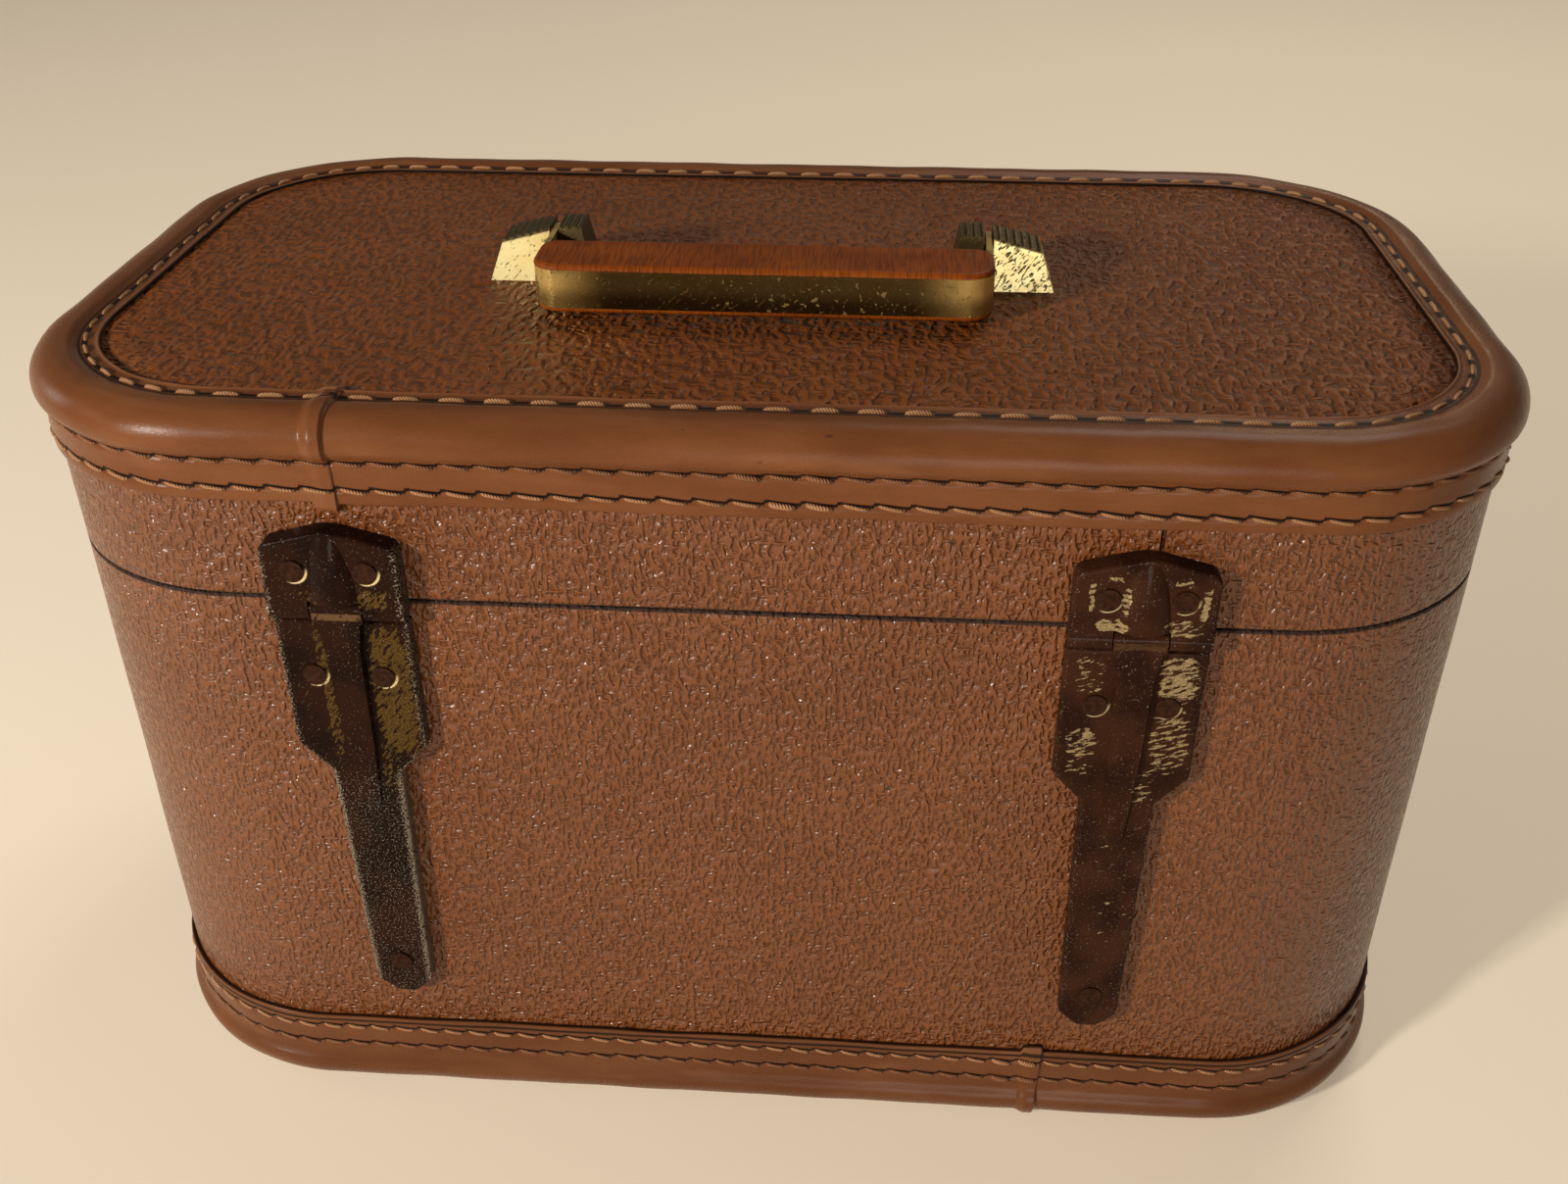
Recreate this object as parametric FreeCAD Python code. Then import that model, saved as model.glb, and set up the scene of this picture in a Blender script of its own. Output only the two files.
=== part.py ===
import FreeCAD
import Part
import math
import os

Vector = FreeCAD.Vector

# Case, in millimetres. The hinge wall faces -Y, the latch wall +Y, and the case stands on Z = 0.
CASE_WIDTH = 330.0
CASE_DEPTH = 178.0
CORNER_RADIUS = 51.0
LID_PANEL_HEIGHT = 196.5
LID_DEPTH = 43.0
SEAM_GAP = 0.4
SAME_PLACE = 1e-6

# Thicknesses of the layers, from the outside in.
BINDING_THICKNESS = 1.3
COVERING_THICKNESS = 0.8
WALL_THICKNESS = 4.0
LINING_THICKNESS = 1.0
BOARD_THICKNESS = 9.5

# Rolled edge of the top board and the floor board, which the binding wraps.
ROLL_OVERHANG = 1.9
ROLL_RADIUS = 6.0
BINDING_FACE_WIDTH = 11.7
BINDING_LAP = 1.5
BINDING_EDGE_ROUND = 0.7
LID_BINDING_DROP = 19.0
BASE_BINDING_RISE = 23.7

# Rim strip that stands up inside the base and locates the closed lid.
RIM_THICKNESS = 2.5
RIM_ABOVE_SEAM = 6.5
RIM_BELOW_SEAM = 26.0
RIM_TO_LID_LINING = 3.0

# Mirror in the lid.
MIRROR_WIDTH = 200.0
MIRROR_DEPTH = 110.0
MIRROR_THICKNESS = 3.0
MIRROR_CORNER = 5.0
MIRROR_CLEARANCE = 0.3
FRAME_BORDER = 6.5
FRAME_LIP = 2.0
FRAME_LIP_THICKNESS = 1.5

# Strap hinges. The pair is set a little to one side of the middle of the hinge wall.
HINGE_SPACING = 171.9
HINGE_PAIR_MIDDLE = -2.9
HINGE_WIDTH = 30.0
PIN_BELOW_SEAM = 1.2
PIN_STANDOFF = 2.8
PIN_RADIUS = 1.2
KNUCKLE_RADIUS = 2.4
KNUCKLE_CLEARANCE = 0.4
NOTCH_WIDTH = 12.0
TONGUE_CLEARANCE = 0.3
RUNNING_CLEARANCE = 0.05
LID_LEAF_PROUD = 4.8
LID_LEAF_SHOULDER = 15.7
LID_LEAF_PEAK = 19.7
LID_LEAF_CORNER = 3.0
LID_LEAF_PEAK_ROUND = 14.0
LID_LEAF_INTO_KNUCKLE = 0.8
BASE_LEAF_PROUD = 3.6
BASE_LEAF_SHOULDER = 37.0
STRAP_TAPER = 7.5
STRAP_TOP_WIDTH = 16.4
STRAP_END_WIDTH = 14.2
STRAP_TO_BINDING = 13.2
STRAP_TIP = 4.3
STRAP_TIP_WIDTH = 5.0
STRAP_CORNER = 2.5
STRAP_TIP_ROUND = 2.0
LEAF_EDGE_ROUND = 0.8
DOME_MOUTH_WIDTH = 12.4
DOME_MIDDLE_WIDTH = 10.2
DOME_END_WIDTH = 6.4
DOME_HEIGHT = 2.2
DOME_END_HEIGHT = 0.1
DOME_END_BELOW_PEAK = 1.4
DOME_LIP_ABOVE_PIN = 3.0
RIB_PROUD_AT_PIN = 5.1
RIB_PROUD_AT_SHOULDER = 4.7
RIB_PROUD_AT_END = 4.0
RIB_NECK_WIDTH = 9.4
RIB_NECK_DROP = 7.0
RIB_SHOULDER_WIDTH = 8.0
RIB_END_WIDTH = 6.0
RIB_LENGTH = 53.5
RIB_NOSE = 1.6
RIB_FLANK = 0.8

# Rivets.
RIVET_SHANK_RADIUS = 1.5
RIVET_HEAD_RADIUS = 2.65
RIVET_HEAD_THICKNESS = 0.5
RIVET_CLINCH_THICKNESS = 1.0
LID_RIVET_SPACING = 15.8
LID_RIVET_ABOVE_PIN = 10.6
BASE_RIVET_SPACING = 15.5
BASE_RIVET_BELOW_PIN = 17.0
STRAP_RIVET_ABOVE_TIP = 10.9

# Carrying handle. It is drawn lying over towards the hinge wall, a little off the middle of the lid.
HANDLE_MIDDLE_X = -1.3
HANDLE_MIDDLE_Y = -1.8
HANDLE_PIVOT_HEIGHT = 7.5
HANDLE_REACH = 32.0
GRIP_LENGTH = 106.2
GRIP_DEPTH = 17.7
GRIP_THICKNESS = 11.5
GRIP_FRONT_CORNER = 6.5
GRIP_BACK_CORNER = 4.5
GRIP_EDGE_ROUND = 2.0
GRIP_EDGE_LAND = 0.1
BAND_THICKNESS = 1.3
BAND_WIDTH = 9.0
HANDLE_PIN_RADIUS = 1.5
HANDLE_PIN_SEAT = 3.0
HANDLE_PIN_OUTER_SEAT = 6.0

# Handle brackets. The slot that takes the band's eye is centred on the band.
BRACKET_DEPTH = 15.0
BRACKET_HEIGHT = 13.0
BRACKET_OUTER_HEIGHT = 9.8
BRACKET_INNER_CHEEK = 8.0
BRACKET_OUTER_CHEEK = 15.0
BRACKET_END_SLOPE = 3.5
BRACKET_FACE_SLOPE = 2.5
BRACKET_SOLE = 1.3
BRACKET_SIDE_CLEARANCE = 0.5
FLUTE_COUNT = 6
INNER_FLUTE_COUNT = 3
FLUTE_RADIUS = 0.5
BRACKET_RIVET_SPACING = 8.0
BRACKET_RIVET_FROM_SLOT = 9.0
BRACKET_RIVET_DEPTH = 3.0

# Front latch: the hasp hangs from the lid and lies in the housing's channel.
LATCH_PIN_ABOVE_SEAM = 5.5
LATCH_PIN_STANDOFF = 3.0
LATCH_PIN_RADIUS = 1.1
LATCH_KNUCKLE_RADIUS = 2.2
LATCH_KNUCKLE_WIDTH = 4.2
HASP_WIDTH = 15.4
HASP_THICKNESS = 1.4
HASP_STANDOFF = 1.8
HASP_LENGTH = 36.5
HASP_KNUCKLE_WIDTH = 10.0
HASP_CURL = 4.5
HASP_CURL_OUT = 2.6
HASP_CORNER = 3.0
HASP_SIDE_CLEARANCE = 0.4
LATCH_PLATE_WIDTH = 30.0
LATCH_PLATE_ABOVE_PIN = 12.0
LATCH_PLATE_THICKNESS = 1.2
LATCH_PLATE_CORNER = 3.0
LATCH_RIVET_SPACING = 18.0
LATCH_RIVET_ABOVE_PIN = 7.7
HOUSING_WIDTH = 54.0
HOUSING_HEIGHT = 27.0
HOUSING_BELOW_SEAM = 4.0
HOUSING_PROUD = 5.0
HOUSING_SOLE = 1.2
HOUSING_CORNER = 4.0
HOUSING_EDGE_ROUND = 1.2
HOUSING_RIVET_SPACING = 20.0
BUTTON_WIDTH = 7.0
BUTTON_HEIGHT = 11.0
BUTTON_THICKNESS = 1.8
BUTTON_TRAVEL = 5.0
BUTTON_STEM = 4.0
BUTTON_STEM_DEPTH = 2.6
BUTTON_CLEARANCE = 0.3
BUTTON_FROM_CHANNEL = 2.0
BUTTON_RIDGES = 3
BUTTON_RIDGE_RADIUS = 0.5

# Levels and faces that follow from the sizes above.
SEAM_HEIGHT = LID_PANEL_HEIGHT - LID_DEPTH
BASE_TOP = SEAM_HEIGHT - SEAM_GAP / 2
LID_BOTTOM = SEAM_HEIGHT + SEAM_GAP / 2
FLOOR_BOARD_TOP = BINDING_THICKNESS + BOARD_THICKNESS
TOP_BOARD_BOTTOM = LID_PANEL_HEIGHT - BOARD_THICKNESS
WALL_INNER = COVERING_THICKNESS + WALL_THICKNESS
LINING_INNER = WALL_INNER + LINING_THICKNESS
PANEL_INSET = BINDING_FACE_WIDTH - BINDING_LAP
REAR_FACE = -CASE_DEPTH / 2
FRONT_FACE = CASE_DEPTH / 2
PIN_HEIGHT = SEAM_HEIGHT - PIN_BELOW_SEAM
STRAP_TIP_HEIGHT = BASE_BINDING_RISE + STRAP_TO_BINDING
PIVOT_HEIGHT = LID_PANEL_HEIGHT + HANDLE_PIVOT_HEIGHT
HANDLE_PLACE = Vector(HANDLE_MIDDLE_X, HANDLE_MIDDLE_Y, 0)


def outline(half_width, half_depth, radius, height):
    """Rounded rectangle about the Z axis, starting at the middle of its +X side."""
    x, y = half_width, half_depth
    straight_x, straight_y = x - radius, y - radius
    bulge = radius * math.sqrt(0.5)
    starts = [(x, straight_y), (-straight_x, y), (-x, -straight_y), (straight_x, -y)]
    ends = [(straight_x, y), (-x, straight_y), (-straight_x, -y), (x, -straight_y)]
    signs = [(1, 1), (-1, 1), (-1, -1), (1, -1)]
    edges = []
    last = Vector(x, 0, height)
    for start, end, sign in zip(starts, ends, signs):
        first, final = Vector(*start, height), Vector(*end, height)
        middle = Vector(sign[0] * (straight_x + bulge), sign[1] * (straight_y + bulge), height)
        edges.append(Part.LineSegment(last, first).toShape())
        edges.append(Part.Arc(first, middle, final).toShape())
        last = final
    edges.append(Part.LineSegment(last, Vector(x, 0, height)).toShape())
    return Part.Wire(edges)


def slab(inset, bottom, top):
    """Prism over the case's plan, drawn in by an inset from the outer face of the covering."""
    plan = outline(CASE_WIDTH / 2 - inset, CASE_DEPTH / 2 - inset, CORNER_RADIUS - inset, bottom)
    return Part.Face(plan).extrude(Vector(0, 0, top - bottom))


def hoop(outer_inset, inner_inset, bottom, top):
    """Wall round the case between two insets from the outer face of the covering."""
    return slab(outer_inset, bottom, top).cut(slab(inner_inset, bottom, top))


def rounded_plate(width, depth, corner, bottom, top):
    """Flat plate with rounded corners, centred on the Z axis."""
    plan = outline(width / 2, depth / 2, corner, bottom)
    return Part.Face(plan).extrude(Vector(0, 0, top - bottom))


def polygon(points):
    """Closed face through points that lie in one plane."""
    return Part.Face(Part.makePolygon(points + points[:1]))


def rounded_polygon(corners):
    """Closed face through corners given as (point, radius), each rounded by its own radius."""
    edges = []
    starts = []
    for index, (corner, radius) in enumerate(corners):
        back = (corners[index - 1][0] - corner).normalize()
        ahead = (corners[(index + 1) % len(corners)][0] - corner).normalize()
        half_turn = (math.pi - back.getAngle(ahead)) / 2
        cut = radius * math.tan(half_turn)
        start, end = corner + back * cut, corner + ahead * cut
        if radius:
            inward = (back + ahead).normalize()
            middle = corner + inward * (radius / math.cos(half_turn) - radius)
            edges.append(Part.Arc(start, middle, end).toShape())
        starts.append((start, end))
    for index, (_, end) in enumerate(starts):
        edges.append(Part.LineSegment(end, starts[(index + 1) % len(starts)][0]).toShape())
    return Part.Face(Part.Wire(Part.__sortEdges__(edges)))


def box_between(low, high):
    """Box from its lowest to its highest corner."""
    size = Vector(*high) - Vector(*low)
    return Part.makeBox(size.x, size.y, size.z, Vector(*low))


def rod(radius, start, end):
    """Round rod between two points."""
    along = Vector(*end) - Vector(*start)
    return Part.makeCylinder(radius, along.Length, Vector(*start), along)


def joined(shapes):
    """One solid from touching pieces, with split faces merged."""
    whole = shapes[0].multiFuse(shapes[1:]) if len(shapes) > 1 else shapes[0]
    return whole.removeSplitter()


def without(shape, cutters):
    """Shape with each cutter taken away."""
    return shape.cut(Part.makeCompound(cutters))


def on_side_wall(point):
    """Profile point, given as (out from the covering, height), on the +X wall."""
    return Vector(CASE_WIDTH / 2 + point[0], 0, point[1])


def roll_edges(offset, face, upward):
    """Edges of the rolled board edge, offset outwards, from the flat face to the foot on the wall."""
    foot_drop = BOARD_THICKNESS - ROLL_RADIUS
    turn = 2 * math.atan2(ROLL_OVERHANG, foot_drop)
    bend = foot_drop / (2 * math.sin(turn))
    level = face - upward * ROLL_RADIUS
    foot = face - upward * BOARD_THICKNESS

    def on_arc(centre_out, centre_level, radius, angle):
        return on_side_wall(
            (centre_out + radius * math.cos(angle), centre_level + upward * radius * math.sin(angle))
        )

    outer = ROLL_RADIUS + offset
    convex = bend + offset
    concave = bend - offset
    roll_centre = ROLL_OVERHANG - ROLL_RADIUS
    convex_centre = ROLL_OVERHANG - bend
    arcs = [
        [on_arc(roll_centre, level, outer, a) for a in (math.pi / 2, math.pi / 4, 0)],
        [on_arc(convex_centre, level, convex, a) for a in (0, -turn / 2, -turn)],
        [on_arc(bend, foot, concave, a) for a in (math.pi - turn, math.pi - turn / 2, math.pi)],
    ]
    return [Part.Arc(*points).toShape() for points in arcs]


def ends_of(edges):
    """First and last point of a chain of roll edges."""
    return edges[0].Vertexes[0].Point, edges[-1].Vertexes[-1].Point


def carried_round(edges):
    """Solid left by a closed profile on the +X wall that is carried once round the case."""
    path = outline(CASE_WIDTH / 2, CASE_DEPTH / 2, CORNER_RADIUS, 0)
    profile = Part.Wire(Part.__sortEdges__(edges))
    return path.makePipeShell([profile], True, False).removeSplitter()


def rolled_board(face, upward):
    """Board with a rolled edge and a shallow recess in its outer face for the panel covering."""
    inner_face = face - upward * BOARD_THICKNESS
    roll = roll_edges(0, face, upward)
    top, foot = ends_of(roll)
    corners = [foot, on_side_wall((-PANEL_INSET, inner_face)), on_side_wall((-PANEL_INSET, face)), top]
    sides = [Part.LineSegment(a, b).toShape() for a, b in zip(corners, corners[1:])]
    floor = face - upward * COVERING_THICKNESS
    middle = slab(PANEL_INSET, min(inner_face, floor), max(inner_face, floor))
    return joined([middle, carried_round(roll + sides)])


def binding(face, upward, edge_level):
    """Leather strip that wraps a rolled edge, from the panel to its sewn edge on the wall."""
    inner = roll_edges(0, face, upward)
    outer = roll_edges(BINDING_THICKNESS, face, upward)
    inner_top, inner_foot = ends_of(inner)
    outer_top, outer_foot = ends_of(outer)
    r = BINDING_EDGE_ROUND
    bend = r * (1 - math.sqrt(0.5))
    crest = face + upward * BINDING_THICKNESS
    out = BINDING_THICKNESS
    lip = [
        on_side_wall((-BINDING_FACE_WIDTH, crest - upward * r)),
        on_side_wall((-BINDING_FACE_WIDTH + bend, crest - upward * bend)),
        on_side_wall((-BINDING_FACE_WIDTH + r, crest)),
    ]
    hem = [
        on_side_wall((out, edge_level + upward * r)),
        on_side_wall((out - bend, edge_level + upward * bend)),
        on_side_wall((out - r, edge_level)),
    ]
    lip_foot = on_side_wall((-BINDING_FACE_WIDTH, face))
    hem_foot = on_side_wall((0, edge_level))
    straights = [
        (inner_top, lip_foot),
        (lip_foot, lip[0]),
        (lip[2], outer_top),
        (outer_foot, hem[0]),
        (hem[2], hem_foot),
        (hem_foot, inner_foot),
    ]
    edges = inner + outer + [Part.Arc(*lip).toShape(), Part.Arc(*hem).toShape()]
    edges += [Part.LineSegment(a, b).toShape() for a, b in straights]
    return carried_round(edges)


# Rivets through a wall: out is +1 on the latch wall and -1 on the hinge wall.
def rivet(x, z, out, seat):
    """Rivet with a flat head on a seat that stands out from the wall, clinched inside the wall."""
    face = out * CASE_DEPTH / 2
    inside = face - out * WALL_INNER
    head_foot = face + out * seat
    clinch = inside + out * RIVET_CLINCH_THICKNESS
    head = rod(RIVET_HEAD_RADIUS, (x, head_foot, z), (x, head_foot + out * RIVET_HEAD_THICKNESS, z))
    shank = rod(RIVET_SHANK_RADIUS, (x, head_foot, z), (x, clinch, z))
    tail = rod(RIVET_HEAD_RADIUS, (x, clinch, z), (x, inside, z))
    return joined([head, shank, tail])


def rivets(places, out, seat):
    """Group of rivets at places given as (x, z)."""
    return Part.makeCompound([rivet(x, z, out, seat) for x, z in places])


def rivet_room(x, z, out, seat):
    """Hole that a rivet fills in the pieces under its head."""
    face = out * CASE_DEPTH / 2
    inside = face - out * WALL_INNER
    clinch = inside + out * RIVET_CLINCH_THICKNESS
    shank = rod(RIVET_SHANK_RADIUS, (x, face + out * seat, z), (x, clinch, z))
    tail = rod(RIVET_HEAD_RADIUS, (x, clinch, z), (x, inside, z))
    return joined([shank, tail])


HINGE_CENTRES = {
    "left": HINGE_PAIR_MIDDLE - HINGE_SPACING / 2,
    "right": HINGE_PAIR_MIDDLE + HINGE_SPACING / 2,
}
lid_hinge_rivets = []
base_hinge_rivets = []
for centre in HINGE_CENTRES.values():
    for side in (-1, 1):
        lid_hinge_rivets.append((centre + side * LID_RIVET_SPACING / 2, PIN_HEIGHT + LID_RIVET_ABOVE_PIN))
        base_hinge_rivets.append((centre + side * BASE_RIVET_SPACING / 2, PIN_HEIGHT - BASE_RIVET_BELOW_PIN))
    base_hinge_rivets.append((centre, STRAP_TIP_HEIGHT + STRAP_RIVET_ABOVE_TIP))

latch_pin_height = SEAM_HEIGHT + LATCH_PIN_ABOVE_SEAM
housing_top = SEAM_HEIGHT - HOUSING_BELOW_SEAM
housing_middle = housing_top - HOUSING_HEIGHT / 2
channel_half = HASP_WIDTH / 2 + HASP_SIDE_CLEARANCE
housing_rivet_x = -(channel_half + HOUSING_WIDTH / 2) / 2
latch_lid_rivets = []
housing_rivets = []
for side in (-1, 1):
    latch_lid_rivets.append((side * LATCH_RIVET_SPACING / 2, latch_pin_height + LATCH_RIVET_ABOVE_PIN))
    housing_rivets.append((housing_rivet_x, housing_middle + side * HOUSING_RIVET_SPACING / 2))

lid_wall_holes = [rivet_room(x, z, -1, LID_LEAF_PROUD) for x, z in lid_hinge_rivets]
lid_wall_holes += [rivet_room(x, z, 1, LATCH_PLATE_THICKNESS) for x, z in latch_lid_rivets]
base_wall_holes = [rivet_room(x, z, -1, BASE_LEAF_PROUD) for x, z in base_hinge_rivets]
base_wall_holes += [rivet_room(x, z, 1, HOUSING_PROUD) for x, z in housing_rivets]

# Base: bent wall, floor board, coverings, binding, lining and rim.
nodes = {}
nodes["base_floor_board"] = rolled_board(BINDING_THICKNESS, -1)
nodes["base_floor_covering"] = slab(PANEL_INSET, BINDING_THICKNESS, BINDING_THICKNESS + COVERING_THICKNESS)
nodes["base_binding"] = binding(BINDING_THICKNESS, -1, BASE_BINDING_RISE)
base_wall = hoop(COVERING_THICKNESS, WALL_INNER, FLOOR_BOARD_TOP, BASE_TOP)
nodes["base_wall"] = without(base_wall, base_wall_holes)
base_covering = hoop(0, COVERING_THICKNESS, FLOOR_BOARD_TOP, BASE_TOP)
nodes["base_covering"] = without(base_covering, base_wall_holes)
base_lining_hollow = slab(LINING_INNER, FLOOR_BOARD_TOP + LINING_THICKNESS, BASE_TOP)
nodes["base_lining"] = slab(WALL_INNER, FLOOR_BOARD_TOP, BASE_TOP).cut(base_lining_hollow)
rim_bottom = SEAM_HEIGHT - RIM_BELOW_SEAM
rim_top = SEAM_HEIGHT + RIM_ABOVE_SEAM
rim_inner = LINING_INNER + RIM_THICKNESS
nodes["base_rim"] = hoop(LINING_INNER, rim_inner, rim_bottom, rim_top)

# Handle brackets and their rivets are placed first, because their holes go through the lid.
band_centre = GRIP_LENGTH / 2 - BAND_THICKNESS / 2
slot_half = BAND_THICKNESS / 2 + BRACKET_SIDE_CLEARANCE
bracket_rivets = []
for side in (-1, 1):
    for along in (-1, 1):
        rivet_x = HANDLE_MIDDLE_X + side * (band_centre + slot_half + BRACKET_RIVET_FROM_SLOT)
        bracket_rivets.append((rivet_x, HANDLE_MIDDLE_Y + along * BRACKET_RIVET_SPACING / 2))


def bracket_rivet(x, y):
    """Rivet from a counterbore under the top board up into a bracket."""
    clinch = TOP_BOARD_BOTTOM + RIVET_CLINCH_THICKNESS
    head = rod(RIVET_HEAD_RADIUS, (x, y, TOP_BOARD_BOTTOM), (x, y, clinch))
    shank = rod(RIVET_SHANK_RADIUS, (x, y, clinch), (x, y, LID_PANEL_HEIGHT + BRACKET_RIVET_DEPTH))
    return joined([head, shank])


# Lid: bent wall, top board, coverings, binding and lining.
bracket_rivet_solids = [bracket_rivet(x, y) for x, y in bracket_rivets]
nodes["lid_top_board"] = without(rolled_board(LID_PANEL_HEIGHT, 1), bracket_rivet_solids)
panel_bottom = LID_PANEL_HEIGHT - COVERING_THICKNESS
nodes["lid_top_covering"] = without(slab(PANEL_INSET, panel_bottom, LID_PANEL_HEIGHT), bracket_rivet_solids)
nodes["lid_binding"] = binding(LID_PANEL_HEIGHT, 1, LID_PANEL_HEIGHT - LID_BINDING_DROP)
lid_wall = hoop(COVERING_THICKNESS, WALL_INNER, LID_BOTTOM, TOP_BOARD_BOTTOM)
nodes["lid_wall"] = without(lid_wall, lid_wall_holes)
lid_covering = hoop(0, COVERING_THICKNESS, LID_BOTTOM, TOP_BOARD_BOTTOM)
nodes["lid_covering"] = without(lid_covering, lid_wall_holes)
lid_lining_edge = rim_top + RIM_TO_LID_LINING
lid_lining_face = TOP_BOARD_BOTTOM - LINING_THICKNESS
lid_lining = slab(WALL_INNER, lid_lining_edge, TOP_BOARD_BOTTOM)
nodes["lid_lining"] = lid_lining.cut(slab(LINING_INNER, lid_lining_edge, lid_lining_face))

# Mirror held against the lid's lining by a lipped frame.
mirror_bottom = lid_lining_face - MIRROR_THICKNESS
frame_bottom = mirror_bottom - FRAME_LIP_THICKNESS
seat = [MIRROR_WIDTH + 2 * MIRROR_CLEARANCE, MIRROR_DEPTH + 2 * MIRROR_CLEARANCE]
rim_out = 2 * (MIRROR_CLEARANCE + FRAME_BORDER)
mirror_plan = (MIRROR_WIDTH, MIRROR_DEPTH, MIRROR_CORNER)
nodes["mirror_glass"] = rounded_plate(*mirror_plan, mirror_bottom, lid_lining_face)
mirror_frame = rounded_plate(
    MIRROR_WIDTH + rim_out,
    MIRROR_DEPTH + rim_out,
    MIRROR_CORNER + FRAME_BORDER,
    frame_bottom,
    lid_lining_face,
)
frame_seat = rounded_plate(*seat, MIRROR_CORNER + MIRROR_CLEARANCE, mirror_bottom, lid_lining_face)
frame_window = rounded_plate(
    MIRROR_WIDTH - 2 * FRAME_LIP,
    MIRROR_DEPTH - 2 * FRAME_LIP,
    MIRROR_CORNER - FRAME_LIP / 2,
    frame_bottom,
    mirror_bottom,
)
nodes["mirror_frame"] = without(mirror_frame, [frame_seat, frame_window])


# Strap hinges. They are drawn about X = 0, with "out" measured from the hinge wall's face.
def on_rear(x, out, z):
    """Point in front of the hinge wall."""
    return Vector(x, REAR_FACE - out, z)


def rear_plate(points, proud):
    """Plate on the hinge wall from its outline in (x, z, corner radius), with its outer edges rounded."""
    plate = rounded_polygon([(on_rear(x, 0, z), r) for x, z, r in points]).extrude(Vector(0, -proud, 0))
    front = REAR_FACE - proud
    edges = [e for e in plate.Edges if all(abs(v.Point.y - front) < SAME_PLACE for v in e.Vertexes)]
    return plate.makeFillet(LEAF_EDGE_ROUND, edges)


def rear_block(half_width, out_low, out_high, bottom, top, centre=0.0):
    """Box on the hinge wall."""
    low = (centre - half_width, REAR_FACE - out_high, bottom)
    high = (centre + half_width, REAR_FACE - out_low, top)
    return box_between(low, high)


def rear_rod(radius, x_low, x_high):
    """Rod along the hinge pin's axis."""
    y = REAR_FACE - PIN_STANDOFF
    return rod(radius, (x_low, y, PIN_HEIGHT), (x_high, y, PIN_HEIGHT))


def dome_section(width, foot, crown, z):
    """Half-round section of the lid leaf's dome."""
    left, top, right = on_rear(-width / 2, foot, z), on_rear(0, crown, z), on_rear(width / 2, foot, z)
    return Part.Wire([Part.Arc(left, top, right).toShape(), Part.LineSegment(right, left).toShape()])


def rib_section(width, crown, z):
    """Flat-topped section of the base leaf's rib, with sloped flanks."""
    half = width / 2
    foot = BASE_LEAF_PROUD - RIB_FLANK
    points = [(-half, foot), (-half + RIB_FLANK, crown), (half - RIB_FLANK, crown), (half, foot)]
    places = [on_rear(x, out, z) for x, out in points]
    return Part.makePolygon(places + places[:1])


half_hinge = HINGE_WIDTH / 2
half_notch = NOTCH_WIDTH / 2
half_tongue = half_notch - TONGUE_CLEARANCE
wing_middle = (half_hinge + half_notch) / 2
wing_half = (half_hinge - half_notch) / 2
dome_lip = PIN_HEIGHT + DOME_LIP_ABOVE_PIN


def hinge_lid_leaf():
    """Upper leaf: peaked plate with two knuckles and the dome whose lip stops the lid."""
    foot = LID_BOTTOM + KNUCKLE_CLEARANCE / 2
    shoulder = PIN_HEIGHT + LID_LEAF_SHOULDER + LEAF_EDGE_ROUND
    peak = PIN_HEIGHT + LID_LEAF_PEAK + LEAF_EDGE_ROUND
    outline_points = [
        (-half_hinge, foot, 0),
        (-half_hinge, shoulder, LID_LEAF_CORNER),
        (0, peak, LID_LEAF_PEAK_ROUND),
        (half_hinge, shoulder, LID_LEAF_CORNER),
        (half_hinge, foot, 0),
    ]
    plate = rear_plate(outline_points, LID_LEAF_PROUD)
    crown = LID_LEAF_PROUD + DOME_HEIGHT
    dome_end = peak - DOME_END_BELOW_PEAK
    dome_middle = (dome_lip + dome_end) / 2
    dome_foot = LID_LEAF_PROUD - LEAF_EDGE_ROUND
    dome = Part.makeLoft(
        [
            dome_section(DOME_MOUTH_WIDTH, dome_foot, crown, dome_lip),
            dome_section(DOME_MIDDLE_WIDTH, dome_foot, crown, dome_middle),
            dome_section(DOME_END_WIDTH, dome_foot, LID_LEAF_PROUD + DOME_END_HEIGHT, dome_end),
        ],
        True,
    )
    notch = rear_block(half_notch, 0, LID_LEAF_PROUD, foot, dome_lip)
    pieces = [plate.cut(notch), dome]
    for side in (-1, 1):
        x = side * wing_middle
        pieces.append(rear_rod(KNUCKLE_RADIUS, x - wing_half, x + wing_half))
        neck_top = PIN_HEIGHT + KNUCKLE_RADIUS + LID_LEAF_INTO_KNUCKLE
        pieces.append(rear_block(wing_half, KNUCKLE_CLEARANCE, LID_LEAF_PROUD, PIN_HEIGHT, neck_top, x))
    bore = rear_rod(PIN_RADIUS + RUNNING_CLEARANCE, -half_hinge, half_hinge)
    return joined(pieces).cut(bore)


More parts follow.
